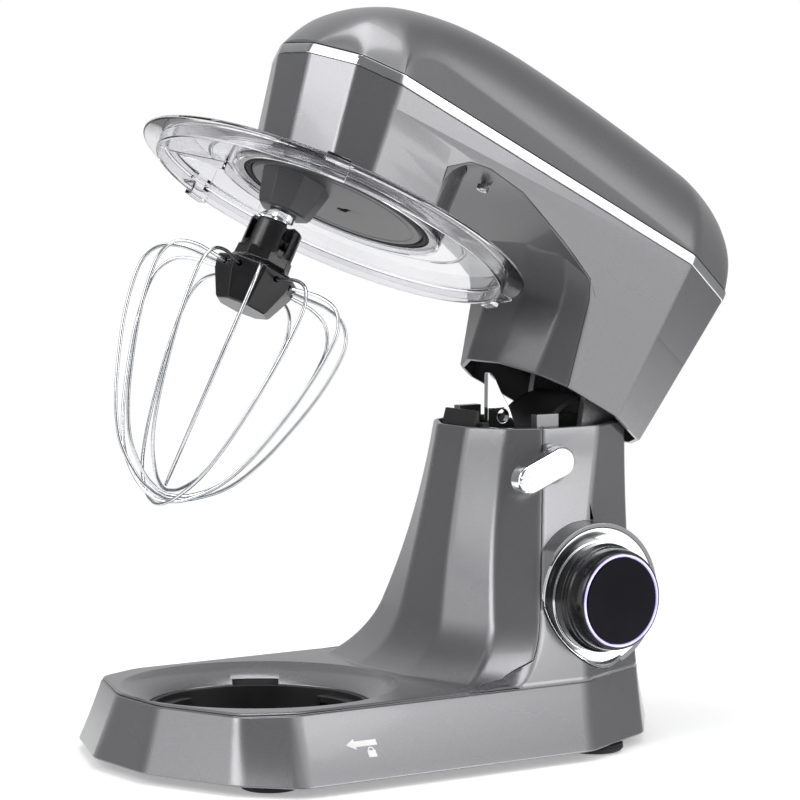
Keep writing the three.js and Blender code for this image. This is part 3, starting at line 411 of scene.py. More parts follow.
def twin(piece):
    """A second copy of a piece, with its own mesh."""
    copy = piece.copy()
    copy.data = piece.data.copy()
    bpy.context.scene.collection.objects.link(copy)
    return copy


def tube(points, radius, sides=12):
    """A round wire along a line of points."""
    rings = []
    side = None
    for k, point in enumerate(points):
        ahead = (points[min(k + 1, len(points) - 1)] - points[max(k - 1, 0)]).normalized()
        if side is None:
            side = ahead.orthogonal().normalized()
        side = (side - ahead * side.dot(ahead)).normalized()
        up = ahead.cross(side)
        rings.append([point + (side * math.cos(a) + up * math.sin(a)) * radius
                      for a in (2 * math.pi * j / sides for j in range(sides))])
    return loft(rings)


WELD_DISTANCE = 0.0001


def settle(piece, name, place, finish, body, node, rounding=0.4, angle=40, smooth=35):
    """Rounds a finished piece's edges, puts it in its place and hands it to its body."""
    pick_only(piece)
    piece.name = name
    piece.data.name = name
    bpy.ops.object.mode_set(mode="EDIT")
    bpy.ops.mesh.select_all(action="SELECT")
    bpy.ops.mesh.remove_doubles(threshold=WELD_DISTANCE)
    bpy.ops.object.mode_set(mode="OBJECT")
    if rounding:
        edge = piece.modifiers.new("rounding", "BEVEL")
        edge.width, edge.segments = rounding, 2
        edge.limit_method, edge.angle_limit = "ANGLE", math.radians(angle)
        edge.use_clamp_overlap = False
        bpy.ops.object.modifier_apply(modifier=edge.name)
    piece.data.transform(place)
    bpy.ops.object.shade_smooth_by_angle(angle=math.radians(smooth))
    even = piece.modifiers.new("even_shading", "WEIGHTED_NORMAL")
    even.keep_sharp = True
    bpy.ops.object.modifier_apply(modifier=even.name)
    give_finish(piece, finish)
    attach(piece, body)
    for name_of_node in ([node] if isinstance(node, str) else node):
        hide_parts(name_of_node)
    return piece


# ---------------------------------------------------------------- stand

SKIRT_BOTTOM, DECK, COLUMN_TOP = 5.0, 42.5, 184.0
BASE_HALF, COLUMN_HALF = 116.0, 49.0
FILLET_TOP, FILLET_RADIUS = 75.0, 34.5
SOCKET, DISH_EDGE, SOCKET_FLOOR, DISH_DROP = 64.0, 80.0, 12.5, 11.0
NOTCH_ANGLES, NOTCH_HALF = (30, 150, 270), 13.5
KNOB = Vector((67.5, 191, 85.5))
BEZEL = 40.4
LEVER = Vector((0, 164, 161.5))


def flare(z):
    return ((COLUMN_TOP - min(z, COLUMN_TOP)) / (COLUMN_TOP - SKIRT_BOTTOM)) ** 2.1


def side_half(z):
    return mix(COLUMN_HALF, BASE_HALF, flare(z))


def rear_corners(z):
    s = flare(z)
    return [(side_half(z), mix(207.5, 152, s ** 0.65)),
            (mix(26.2, BASE_HALF - 28, s), mix(244.3, 211, s)),
            (mix(10.5, 40, s), mix(251.3, 250, s))]


def skirt_outline(z):
    t = (1 - flare(z)) / (1 - flare(DECK))
    return mirrored([(mix(26.4, 21.3, t), mix(-94, -80.8, t)), (mix(87.6, 76.3, t), mix(-70, -60.4, t)),
                     (side_half(z) - 1, mix(-43.7, -31.7, t)), *rear_corners(z)])


def front_sweep(z):
    drop = min(max(0.0, FILLET_TOP - z), FILLET_RADIUS)
    return FILLET_RADIUS - math.sqrt(FILLET_RADIUS ** 2 - drop ** 2)


def seam_y(z):
    return 165 - 0.8 * (side_half(z) - COLUMN_HALF) - 0.6 * front_sweep(z)


def column_outline(z):
    lean, spread = 0.207 * (COLUMN_TOP - z), side_half(z) - COLUMN_HALF
    return mirrored([(15 + 0.22 * spread, 134.5 - lean - front_sweep(z)),
                     (COLUMN_HALF - 10.4 + 0.8 * spread, 148.5 - lean - 0.12 * spread - front_sweep(z)),
                     (side_half(z), seam_y(z)), *rear_corners(z)])


def level(outline, z, reach=0.0):
    eased = rounded(outline, reach) if reach else outline
    return [(x, y, z) for x, y in eased]


COLUMN_LEVELS = ([FILLET_TOP - FILLET_RADIUS * math.sin(a) for a in steps(math.radians(70.4), 0, 16)]
                 + steps(85, COLUMN_TOP - 1, 10))


def stand_body():
    """The whole stand as one solid: flared skirt and swept column, with eased corners."""
    brim = [math.radians(a) for a in (0, 30, 60, 90)]
    skirt = loft([level(inset(skirt_outline(SKIRT_BOTTOM), 0.8), SKIRT_BOTTOM, 6)]
                 + [level(skirt_outline(z), z, 6) for z in steps(SKIRT_BOTTOM + 0.8, DECK - 2.2, 9)]
                 + [level(inset(skirt_outline(DECK), 2 * (1 - math.cos(a))), DECK - 2 + 2 * math.sin(a), 6)
                    for a in brim])
    column = loft([level(inset(column_outline(DECK), 1), DECK - 4, 4), level(column_outline(DECK), DECK - 2,
            4)]
                  + [level(column_outline(z), z, 4) for z in COLUMN_LEVELS]
                  + [level(inset(column_outline(COLUMN_TOP), 0.7), COLUMN_TOP, 4)])
    return join(skirt, column)


def stand_cavity():
    skirt = loft([level(inset(skirt_outline(SKIRT_BOTTOM), WALL), SKIRT_BOTTOM - 1)]
                 + [level(inset(skirt_outline(z), WALL), z) for z in (16, 29, DECK - WALL)])
    column = loft([level(inset(column_outline(DECK), WALL), DECK - WALL - 1)]
                  + [level(inset(column_outline(z), WALL), z) for z in COLUMN_LEVELS[2::2]]
                  + [level(inset(column_outline(COLUMN_TOP), WALL), COLUMN_TOP + 1)])
    return join(skirt, column)


def cover_zone(clearance):
    """Everything in front of the seam: the deck, the dish and the column's front."""
    rise = [(82, 41.3), (100, 42.6), (113, 45.6), (121, 49.5)]
    seam = [(seam_y(z), z) for z in [55, 60, 66] + steps(75, COLUMN_TOP, 9)]
    edge = [(-130, 41.3)] + rise + seam + [(seam_y(COLUMN_TOP), 205), (-130, 205)]
    zone = slab(inset(edge, -clearance), -130, 130)
    plug = plate(inset(skirt_outline(DECK), 2.2 - clearance), DECK - WALL - 3 - clearance, DECK - 0.5)
    return join(zone, common(plug, box(-130, 130, -130, 100 + clearance, 0, 60)))


def knob_ring(inner, outer, x0, x1):
    return moved(turned([(inner, x0), (outer, x0), (outer, x1), (inner, x1)], 128, "X"), 0, KNOB.y, KNOB.z)


def knob_disc(radius, x0, x1):
    return rod(radius, x0, x1, KNOB.y, KNOB.z, 128)


def stand_casings():
    body = stand_body()
    lifted = moved(twin(body), 1.2)
    pocket = BEZEL + GAP
    shell = cut(twin(body), stand_cavity(), knob_disc(pocket - 6, KNOB.x - 30, KNOB.x))
    rear = join(twin(shell), common(knob_ring(pocket, pocket + 2.6, KNOB.x - 3, BASE_HALF), body),
                knob_ring(pocket - 2, pocket + 2.6, KNOB.x - 18, KNOB.x + 2.5),
                knob_disc(pocket + 1, KNOB.x - WALL, KNOB.x))
    for side in (-1, 1):
        near, far = sorted((side * 36, side * 42))
        foot_near, foot_far = sorted((side * 40, side * 47))
        rear = join(rear, box(near, far, 166, 182, 172, 191.5), box(foot_near, foot_far, 166, 182, 172,
                176))
    rear = join(rear, rod(12, 45, 52.5, LEVER.y + 6, LEVER.z + 2))
    rear = cut(rear, cover_zone(GAP), knob_disc(pocket, KNOB.x, BASE_HALF + 10),
               knob_disc(6.35, KNOB.x - 10, KNOB.x + 1), rod(4.35, 40, 60, LEVER.y, LEVER.z),
               moved(disc(7.85, 235, 260), 0, 0, 26, (-math.pi / 2, "X")))
    settle(rear, "casing_base", STAND, GRAY, "stand", "base_housing")

    front = common(shell, cover_zone(0))
    boss = common(ring(SOCKET, DISH_EDGE + 3.5, DECK - DISH_DROP - 3, DECK - 1, 128),
                  plate(inset(skirt_outline(DECK), 4), 20, 60))
    front = cut(join(front, boss), turned([(0, DECK - DISH_DROP), (SOCKET, DECK - DISH_DROP), (DISH_EDGE,
            DECK),
                                           (DISH_EDGE, DECK + 4), (0, DECK + 4)], 128),
                disc(SOCKET, 0, DECK, 128), rod(4.35, 40, 60, LEVER.y, LEVER.z))
    for angle in NOTCH_ANGLES:
        notch = box(SOCKET - 6, SOCKET + 4, -NOTCH_HALF, NOTCH_HALF, 20, 34)
        front = cut(front, moved(notch, turn=(math.radians(angle), "Z")))
    settle(front, "casing_deck", STAND, GRAY, "stand", "deck_cover")

    x = KNOB.x + GAP
    rim = common(knob_ring(BEZEL - 1.6, BEZEL, x + 1, BASE_HALF + 10), lifted)
    dished = moved(turned([(8, x), (BEZEL, x), (BEZEL, x + 2.4), (BEZEL - 1.6, x + 2.4), (BEZEL - 3.4,
            x + 1.6),
                           (35, x + 1.2), (32.5, x + 1.0), (32.5, x + 2), (8, x + 2)], 128, "X"), 0, KNOB.y,
                           KNOB.z)
    settle(join(dished, rim), "bezel_chrome", STAND, CHROME, "stand", "knob_bezel", 0.3)


def bowl_socket():
    """Bayonet socket for the bowl's foot: a cup with a floor rib, three lugs and their stops."""
    outer, inner, top = SOCKET - GAP, SOCKET - GAP - 3, DECK - DISH_DROP - GAP
    cup = turned([(0, SOCKET_FLOOR - 3), (outer, SOCKET_FLOOR - 3), (outer, top), (inner, top),
                  (inner, SOCKET_FLOOR), (26, SOCKET_FLOOR), (25, SOCKET_FLOOR + 3), (21, SOCKET_FLOOR + 3),
                  (20, SOCKET_FLOOR), (0, SOCKET_FLOOR)], 128)
    for k in range(3):
        way = (math.pi / 2 + k * 2 * math.pi / 3, "Z")
        lug = common(ring(inner - 7, inner + 1, top - 7, top - 3), moved(box(0, 80, -15, 15, 0, 60),
                turn=way))
        stop = moved(box(inner - 10, inner + 1, 15, 18.5, SOCKET_FLOOR - 1, top - 3), turn=way)
        cup = join(cup, lug, stop)
    settle(cup, "socket_lock_ring", STAND, SATIN_BLACK, "stand", "bowl_lock_ring", 0.5)


def knob_parts():
    back = KNOB.x + GAP + 2 + GAP
    face = back + 21
    shelf = face - 4.5
    at_knob = STAND @ Matrix.Translation((0, KNOB.y, KNOB.z))
    grip = turned([(6.35, back), (32, back), (32, back + 5.4), (31.2, back + 6.4), (30.6, back + 7), (30.6,
            back + 9.4),
                   (29.9, back + 10.4), (29.9, back + 15), (29.4, back + 17.5), (28.9, back + 19.4), (28.2,
                           face - 0.4),
                   (27.35, face), (27.35, shelf - GAP), (6.35, shelf - GAP)], 128, "X")
    settle(grip, "knob_grip", at_knob, BLACK, "knob", "speed_knob", 0.25, 20)
    light = turned([(25.9, shelf), (27, shelf), (27, face + 0.2), (25.9, face + 0.2)], 128, "X")
    settle(light, "knob_light", at_knob, GLOW, "stand", "knob_light_ring", 0.1)
    glass = turned([(0, KNOB.x - 2), (6, KNOB.x - 2), (6, shelf), (25.4, shelf), (25.4, face), (24.8,
            face + 0.5),
                    (12, face + 0.62), (0, face + 0.66)], 128, "X")
    settle(glass, "knob_glass", at_knob, GLASS, "stand", "knob_display", 0.15)


def release_lever():
    """A rounded pill on its shaft, ribbed where a thumb pushes it."""
    half, radius, inner = 12.5, 7.6, 52.85
    def pill(reduce):
        r = radius + 1.2 - reduce
        front = [(-half - r * math.sin(a), -r * math.cos(a)) for a in steps(math.pi, 0, 17)]
        back = [(half + r * math.sin(a), r * math.cos(a)) for a in steps(math.pi, 0, 17)]
        return front + back
    shape = [(inner, 1.2), (inner + 0.5, 0.3), (inner + 1.2, 0), (inner + 7.6, 0), (inner + 8.6, 0.35),
             (inner + 9.4, 1.0), (inner + 9.9, 2.0)]
    body = loft([[(x, y, z) for y, z in pill(reduce)] for x, reduce in shape])
    for k in range(-2, 3):
        body = cut(body, moved(box(inner + 9.2, inner + 11, -half - radius - 3, -half - 1, -0.45, 0.45), 0,
                               0, 2.3 * k))
    body = cut(body, rod(4.35, 40, 59, 5, -1))
    body.data.transform(Matrix.Translation((0, -5, 1)))
    body.data.transform(Matrix.Rotation(math.radians(22), 4, "X"))
    body.data.transform(Matrix.Translation(LEVER))
    settle(body, "lever_pill", STAND, CHROME, "lever", "release_lever", 0.25)


def latch_hook():
    shape = [(152, 170), (157, 155), (172, 158), (174, 168), (172, 184), (168.5, 193), (160, 207), (156.4,
            215),
             (152.4, 215)]
    hook = cut(slab(rounded(shape, 2.5), 8, 12), rod(4.35, 0, 20, LEVER.y, LEVER.z), rod(4, 0, 20, 163.4,
            188.8))
    settle(hook, "hook_latch", STAND, CHROME, "hook", "latch_hook", 0.5)


def feet_and_gland():
    for corner, x, y in (("front_left", -78, -42), ("front_right", 78, -42), ("rear_left", -90, 172),
                         ("rear_right", 90, 172)):
        foot = turned([(0, 0.6), (6, 0.6), (7, 0), (14.6, 0), (15.8, 0.5), (17, 1.8), (17, 3), (16.4, 3.4),
                       (16.4, 3.8),
                       (17, 4.2), (17, 4.5), (4, 4.5), (4, 10), (0, 10)], 64)
        settle(moved(foot, x, y), f"foot_{corner}_ribbed", STAND, RUBBER, "stand", f"foot_{corner}",
               0.15)
    gland = turned([(3.4, 232), (7.5, 232), (7.5, 250.6), (10.5, 250.6), (10.5, 253), (10, 254), (8.6, 255),
                    (8.6, 256),
                    (8, 256.4), (8, 257.4), (8.3, 257.8), (8.1, 258.8), (7.6, 259.2), (7.6, 260.2), (7.8,
                            260.6),
                    (7.3, 262), (3.4, 262)], 48)
    settle(moved(gland, 0, 0, 26, (-math.pi / 2, "X")), "gland_ribbed", STAND, RUBBER, "stand",
           "cord_gland",
           0.1)


def lock_mark():
    """A printed arrow over a small padlock, on the right side of the skirt."""
    arrow = plate([(-11, 0), (-5, 3.4), (-5, 1.7), (9, 1.7), (9, -1.7), (-5, -1.7), (-5, -3.4)], 0, 0.15)
    lock = join(moved(box(-2.6, 2.6, -2, 2, 0, 0.15), 4, -6.6), moved(ring(1.3, 2.0, 0, 0.15, 48), 4, -4.4))
    height = 23.5
    slope = math.atan2(side_half(height - 3) - side_half(height + 3), 6)
    way = (Matrix.Translation((side_half(height) - 0.72, 3, height)) @ Matrix.Rotation(-slope, 4, "Y")
           @ Matrix.Rotation(math.pi / 2, 4, "Y") @ Matrix.Rotation(math.pi / 2, 4, "Z"))
    for name, mark in (("mark_arrow", arrow), ("mark_padlock", lock)):
        settle(mark, name, STAND @ way, PRINT, "stand", [], 0.0)


# ---------------------------------------------------------------- head, drawn closed

BAND, BAND_HEIGHT, NOSE = 284.9, 6.4, -65.5
NECK_BOTTOM, NECK_FILLET, NECK_RADIUS = 186.0, 226.0, 38.0
DRUM, DRUM_FLOOR, DRUM_TOP = 61.5, 232.0, 272.0
DISC_BOTTOM = 221.5
SCOOP = [(24.5, 250), (28, 259), (36, 266.5), (50, 269.5), (76, 267.5), (115, 256), (143, 246), (153, 239)]
CROWN = [(NOSE, 293.5), (-63, 299), (-59, 306.5), (-53, 315), (-45, 323), (-35, 330.5), (-20, 338.5), (0,
        345),
         (25, 350.2), (60, 353), (110, 352.4), (160, 350), (203, 346.6), (222, 344), (238, 339.5), (250,
                 333),
         (259, 324.5), (265, 315), (269, 304), (270, 295)]


def head_outline(z):
    below, t = BAND - z, (z - NECK_BOTTOM) / (BAND - NECK_BOTTOM)
    return mirrored([(16 - 0.03 * below, NOSE + 0.24 * below), (45 - 0.04 * below,
                                                                NOSE + 15.5 + 0.2 * below),
                     (57 - 0.04 * below, NOSE + 39.5 + 0.12 * below), (mix(COLUMN_HALF, 66, t), mix(207.5,
                             203, t)),
                     (mix(27, 38, t), mix(246, 256, t)), (mix(11, 14, t), mix(254, 270, t))])


# The neck's rear corners stay this far inside the head's, above the height where the two meet.
NECK_TUCK, TUCK_FROM = 0.12, 239.2


def neck_outline(z):
    rise, lift = z - NECK_BOTTOM, max(0.0, z - NECK_FILLET)
    sweep = NECK_RADIUS - math.sqrt(NECK_RADIUS ** 2 - lift ** 2)
    _, _, c, d, e, f = head_outline(z)[:6]
    tuck = min(NECK_TUCK, max(0.0, z - TUCK_FROM))
    seam = 165 - 0.3 * rise - 0.8 * sweep
    side = mix(c[0], d[0], (seam - c[1]) / (d[1] - c[1]))
    return mirrored([(15 + 0.05 * rise, 134.5 - 0.06 * rise - sweep),
                     (side - 10.4, 148.5 - 0.18 * rise - sweep), (side, seam),
                     (d[0] - tuck, d[1] - tuck), (e[0] - tuck, e[1] - tuck), (f[0], f[1] - tuck)])


def scoop(clearance):
    curve = [tuple(p) for p in smooth_line(SCOOP, 5)]
    return slab(inset([(24.5, 170), (300, 170), (300, 239)] + curve[::-1], -clearance), -90, 90)


NECK_LEVELS = [NECK_BOTTOM + 1, 200, 214] + steps(NECK_FILLET, 258, 12)


def head_body():
    front = loft([level(head_outline(z), z, 2.5) for z in steps(DRUM_FLOOR, BAND - GAP, 5)])
    neck = loft([level(inset(neck_outline(NECK_BOTTOM), 0.7), NECK_BOTTOM, 3)]
                + [level(neck_outline(z), z, 3) for z in NECK_LEVELS])
    drum = common(twin(front), disc(DRUM, DRUM_FLOOR - 1, DRUM_TOP, 128))
    return join(cut(front, scoop(0)), drum, neck)


def head_inside(distance):
    front = loft([level(inset(head_outline(z), distance), z) for z in (DRUM_FLOOR + WALL, 248, 266)]
                 + [level(inset(head_outline(BAND), distance), BAND + 2)])
    neck = loft([level(inset(neck_outline(NECK_BOTTOM), distance), NECK_BOTTOM - 1)]
                + [level(inset(neck_outline(z), distance), z) for z in NECK_LEVELS[1:]])
    return front, neck


def head_cavity():
    front, neck = head_inside(WALL)
    drum = common(twin(front), disc(DRUM - WALL, DRUM_FLOOR, DRUM_TOP + 2, 128))
    return join(cut(front, scoop(WALL)), drum, neck)


def neck_cover_zone(clearance):
    """The scoop's ceiling and the front of the neck, with a lip that tucks inside the housing."""
    seam = [(165 - 0.3 * (z - NECK_BOTTOM), z) for z in (NECK_BOTTOM - 3, 206, NECK_FILLET, 236)]
    edge = [(20, 180)] + seam + [(144, 246.5), (116, 257), (76, 268.8), (50, 270.6), (36, 268), (20, 256)]
    front, neck = head_inside(WALL - 0.2 - clearance)
    plug = common(slab(inset(edge, -clearance - 4), -90, 90), join(front, neck))
    return cut(join(slab(inset(edge, -clearance), -90, 90), plug), disc(DRUM + GAP - clearance, 200, 300,
            128))


RING_TEETH, GEAR_MODULE, GEAR_BOTTOM = 56, 1.5, 235.6


def head_casings():
    shell = cut(head_body(), head_cavity())
    lower = cut(join(cut(twin(shell), neck_cover_zone(GAP)),
                     ring(DRUM - 4, DRUM, DISC_BOTTOM + 0.5, DRUM_FLOOR + 1, 128)),
                disc((RING_TEETH / 2 - 1.8) * GEAR_MODULE + 3.5, 215, GEAR_BOTTOM))
    settle(lower, "casing_head", HEAD, GRAY, "head", "head_lower_housing", 0.0)
    cover = common(shell, neck_cover_zone(0))
    for side in (-1, 1):
        cover = cut(cover, moved(disc(2.25, 250, 280, 32), side * 34, 66))
        screw = turned([(0, -5), (3, -5), (3.5, -4.4), (3.6, -2), (1.9, -2), (1.9, 2.4), (0, 3)], 32)
        slots = [box(-2.2, 2.2, -0.45, 0.45, -6, -4), box(-0.45, 0.45, -2.2, 2.2, -6, -4)]
        name = "left" if side < 0 else "right"
        settle(moved(cut(screw, *slots), side * 34, 66, 269.4), f"screw_cover_{name}", HEAD, STEEL, "head",
               f"cover_screw_{name}", 0.08)
    # The neck's front takes the darker lacquer copy, whose dark tone is painted shade.
    settle(cover, "casing_neck_front", HEAD, PAINTED_SHADE_GRAY, "head", "neck_front_cover", 0.0)


def trim_band():
    outline = head_outline(BAND)
    section = [(4, 0.2), (0.4, 0), (-0.25, 0.45), (-0.5, 1.2), (-0.5, BAND_HEIGHT - 1.2), (-0.25,
            BAND_HEIGHT - 0.45),
               (0.4, BAND_HEIGHT), (4, BAND_HEIGHT - 0.2)]
    rings = [level(inset(outline, distance), BAND + z, 2.5) for distance, z in section]
    settle(loft(rings + rings[:1]), "band_chrome", HEAD, CHROME, "head", "trim_band", 0.0)


def along(line, y):
    """Height or width read off a line of (place, value)."""
    for (y0, v0), (y1, v1) in zip(line, line[1:]):
        if y <= y1:
            return mix(v0, v1, (y - y0) / (y1 - y0))
    return line[-1][1]


SMOOTH_CROWN = [tuple(p) for p in smooth_line(CROWN, 6)]
CROWN_EDGE = [(y, x) for x, y in rounded(head_outline(BAND), 5)[:30]]


def cover_section(y, inner):
    """One cross-section of the domed cover, from the band's edge over the crown."""
    base = BAND + BAND_HEIGHT + GAP - (1 if inner else 0)
    half, top = along(CROWN_EDGE, y) - inner, along(SMOOTH_CROWN, y) - inner
    front = min(max((y - (NOSE + 39.5)) / 30, 0), 1)
    rear = min(max((203 - y) / 203, 0), 1)
    facet = max(0.6, 21 * math.sqrt(1 - (1 - front) ** 2) * rear ** 0.8)
    shoulder = min(base + facet, mix(base, top, 0.6))
    shoulder_half = half - (shoulder - base) * 0.52
    start = 0.35
    arc = []
    for angle in steps(start, math.pi / 2, 15)[:-1]:
        arc.append((shoulder_half * (math.cos(angle) / math.cos(start)) ** 0.9,
                    mix(shoulder, top, (math.sin(angle) - math.sin(start)) / (1 - math.sin(start)))))
    right = [(half, base), (mix(half, arc[0][0], 0.93), mix(base, arc[0][1], 0.93)),
             (mix(arc[0][0], arc[1][0], 0.25), mix(arc[0][1], arc[1][1], 0.25)), *arc[1:], (0, top)]
    left = [(-x, z) for x, z in right[:-1][::-1]]
    return [(x, y, z) for x, z in right + left]


def top_cover():
    stations = sorted({round(y, 3) for y in [NOSE + 0.02, -65.2, -64.5, -63.6, -62.3] + steps(-60.5, -20,
            20)
                       + steps(-16, 190, 36) + steps(194, 258, 22) + [261, 263.5, 265.6, 267.4, 268.8,
                               269.6, 269.98]})
    outer = loft([cover_section(y, 0) for y in stations])
    inner = loft([cover_section(y, WALL) for y in stations if NOSE + 5 < y < 262])
    settle(cut(outer, inner), "cover_domed", HEAD, GRAY, "head", "head_top_cover", 0.0, 40, 22)


def hinge_shield():
    start = math.pi * 0.55
    def arc(radius):
        return [(HINGE.y + radius * math.cos(a), HINGE.z + radius * math.sin(a)) for a in steps(start,
                math.pi, 40)]
    shield = slab(arc(40) + arc(37)[::-1], -23, 23)
    settle(shield, "shield_hinge", HEAD, SATIN_BLACK, "head", "hinge_shield", 0.3)


# ---------------------------------------------------------------- whisk, carrier and splash guard

def carrier_and_seal():
    plain = turned([(0, DISC_BOTTOM), (20, DISC_BOTTOM), (46, DISC_BOTTOM), (46.6, DISC_BOTTOM + 0.4),
                    (47.4, DISC_BOTTOM + 0.4), (48, DISC_BOTTOM), (51.4, DISC_BOTTOM), (53.2,
                            DISC_BOTTOM + 1.6),
                    (53.2, DISC_BOTTOM + 5), (14, DISC_BOTTOM + 5), (14, 234), (7, 234), (7, 300), (0,
                            300)], 128)
    housing = turned([(0, 201), (13.8, 201), (15.2, 201.8), (16.6, 204.4), (21, DISC_BOTTOM + 0.5),
                      (0, DISC_BOTTOM + 0.5)], 8)
    housing = moved(housing, 0, -30, 0, (math.pi / 8, "Z"))
    carrier = cut(join(plain, housing), moved(disc(6.35, 190, 240), 0, -30),
                  moved(disc(3, DISC_BOTTOM - 1, DISC_BOTTOM + 2.5, 48), -3, 7),
                  box(-3, 4, 5.6, 8.4, DISC_BOTTOM - 1, DISC_BOTTOM + 2))
    # The carrier disc takes the darker lacquer copy, whose dark tone is painted shade.
    settle(carrier, "carrier_disc", HEAD, CARRIER_PAINTED_SHADE_GRAY, "carrier", "planet_carrier", 0.4, 30)
    seal = turned([(53.55, 222.8), (54.2, 222.1), (55.4, 222.0), (56, 222.6), (57.15, 222.8), (57.15,
            225.5),
                   (53.55, 225.5)], 128)
    settle(seal, "seal_lip", HEAD, RUBBER, "head", "seal_ring", 0.1)


def drive_shaft():
    shaft = turned([(0, 176), (3.6, 176), (4.4, 176.5), (5, 177.5), (5, 180.4), (4.5, 180.8), (4.5, 181.2),
                    (5, 181.6),
                    (5, 196), (8.0, 196), (8.2, 196.3), (8.2, 200.3), (8, 200.6), (6, 200.6), (6, 249.6),
                    (0, 249.6)], 64)
    settle(join(shaft, rod(2, -10.5, 10.5, 0, 183, 32)), "shaft_drive", TOOL, CHROME, "tool", "tool_shaft",
           0.1)
    turns = 4
    line = [Vector((6.25 * math.cos(a), 6.25 * math.sin(a), mix(187.2, 194.4, a / (2 * math.pi * turns))))
            for a in steps(0, 2 * math.pi * turns, 40 * turns)]
    settle(tube(line, 0.7), "spring_drive", TOOL, STEEL, "tool", "tool_spring", 0.0)


def whisk_parts():
    entry, loops = 160.5, 6
    hub = moved(turned([(0, 141), (15.4, 141), (16.8, 142.2), (23.6, 156.4), (24.8, 163.6), (24.2, 165),
                        (18.4, 167.3),
                        (17, 169), (16.6, 175), (0, 175)], 8), turn=(math.pi / 8, "Z"))
    collar = turned([(0, 174), (15.5, 174), (15.5, 191.8), (14.4, 193), (0, 193)], 64)
    hub = cut(join(hub, collar), disc(7.6, 172, 200, 48))
    for k in range(2):
        hub = cut(hub, moved(box(-20, 20, -2.8, 2.8, 178, 200), turn=(k * math.pi / 2, "Z")))
    for k in range(2 * loops):
        hub = cut(hub, moved(rod(1.7, 17, 40, 0, entry, 16), turn=(k * math.pi / loops, "Z")))
    settle(hub, "hub_slotted", TOOL, BLACK, "whisk", "whisk_hub", 0.45, 25, 30)
    side = [(17.5, entry), (23, entry), (28, entry), (43, entry), (55, 156.5), (61.5, 147), (62.5, 134),
            (59.5, 112),
            (53, 87), (44, 61), (32.5, 40), (17, 26), (6, 21)]
    for index in range(loops):
        lift = index * 2.4
        half = [(r, z if z > entry - 1 else z + lift * max(0.0, (entry - z) / (entry - 20)) ** 1.4) for r,
                z in side]
        points = ([(r, 0, z) for r, z in half] + [(0, 0, 20 + lift)] + [(-r, 0, z) for r, z in half[::-1]])
        wire = tube(smooth_line(points, 8), 1.0)
        settle(moved(wire, turn=(index * math.pi / loops, "Z")), f"wire_loop_{index + 1}", TOOL, STEEL,
               "whisk",
               f"whisk_wire_{index + 1}", 0.0)


def wedge(start, end, inner, outer, z0, z1):
    """A ring segment between two angles."""
    def arc(radius, a, b):
        return [(radius * math.cos(t), radius * math.sin(t)) for t in steps(a, b, 24)]
    return plate(arc(outer, start, end) + arc(inner, end, start), z0, z1)


CLIP_ANGLES, CHUTE_ANGLE, CHUTE_SPREAD = (-35, 75, 195), 197, 26


def splash_guard():
    rim, flange, base = 106.0, 118.0, 210.0
    collar = DRUM + GAP
    pan = turned([(collar, 220), (collar, 231), (collar + 2.4, 231), (collar + 2.4, 226.5), (78, 224.9),
                  (79, 225.9),
                  (80, 224.7), (rim - 3, 221), (flange - 1, 218.6), (flange, 218), (flange, 216.8),
                  (flange - 0.8, 216.3),
                  (rim + 1.5, 217), (rim + 1.5, base + 0.6), (rim + 0.9, base), (rim - 0.3, base),
                  (rim - 0.8, base + 0.6),
                  (rim - 0.8, 218.6), (collar + 2.4, 224), (collar + 2.4, 220)], 160)
    for angle in CLIP_ANGLES:
        clip = join(box(rim + 0.5, rim + 3.5, -7, 7, base - 1, 219), box(rim + 0.5, flange + 0.6, -7, 7,
                216, 219.8))
        clip = join(clip, box(rim + 3, rim + 6, -7, 7, base - 1, base + 1.5))
        pan = join(pan, moved(clip, turn=(math.radians(angle), "Z")))
    middle, spread, lip = math.radians(CHUTE_ANGLE), math.radians(CHUTE_SPREAD), 0.025
    start, end = middle - spread, middle + spread
    chute = cut(wedge(start, end, 70, rim + 4, 219, 240), wedge(start + lip, end - lip, 72.2, rim + 1.8,
                                                                210, 250))
    guard = cut(join(pan, chute), wedge(start + lip, end - lip, 72.2, rim - 4, 205, 250))
    settle(guard, "guard_clear", HEAD, CLEAR, "guard", "splash_guard", 0.35)


stand_casings()
bowl_socket()
knob_parts()
release_lever()
latch_hook()
feet_and_gland()
lock_mark()
head_casings()
trim_band()
top_cover()
hinge_shield()
carrier_and_seal()
drive_shaft()
whisk_parts()
splash_guard()


# ---------------------------------------------------------------- floor, light and camera

def floor():
    """A pale round floor that fades out towards its rim."""
    bpy.ops.object.select_all(action="DESELECT")
    bpy.ops.mesh.primitive_circle_add(vertices=96, radius=3.2, fill_type="NGON", location=(DISH.x, 0,
            -0.0005))
    ground = bpy.context.object
    ground.name = "floor"
    finish, tree, shader, place = new_finish("pale_floor")
    tree.links.new(ramp(tree, noise(tree, place, 3), (0.86, 0.86, 0.86), (0.9, 0.9, 0.9)),
                   shader.inputs["Base Color"])
    shader.inputs["Roughness"].default_value = 0.55
    shader.inputs["Specular IOR Level"].default_value = 0.25
    shader.inputs["Emission Color"].default_value = (1, 1, 1, 1)
    shader.inputs["Emission Strength"].default_value = 0.35
    length = tree.nodes.new("ShaderNodeVectorMath")
    length.operation = "LENGTH"
    tree.links.new(place, length.inputs[0])
    fade = tree.nodes.new("ShaderNodeMapRange")
    fade.inputs["From Min"].default_value = 0.35
    fade.inputs["From Max"].default_value = 0.95
    fade.inputs["To Min"].default_value = 1.0
    fade.inputs["To Max"].default_value = 0.0
    fade.interpolation_type = "SMOOTHERSTEP"
    tree.links.new(length.outputs["Value"], fade.inputs["Value"])
    tree.links.new(fade.outputs["Result"], shader.inputs["Alpha"])
    give_finish(ground, finish)


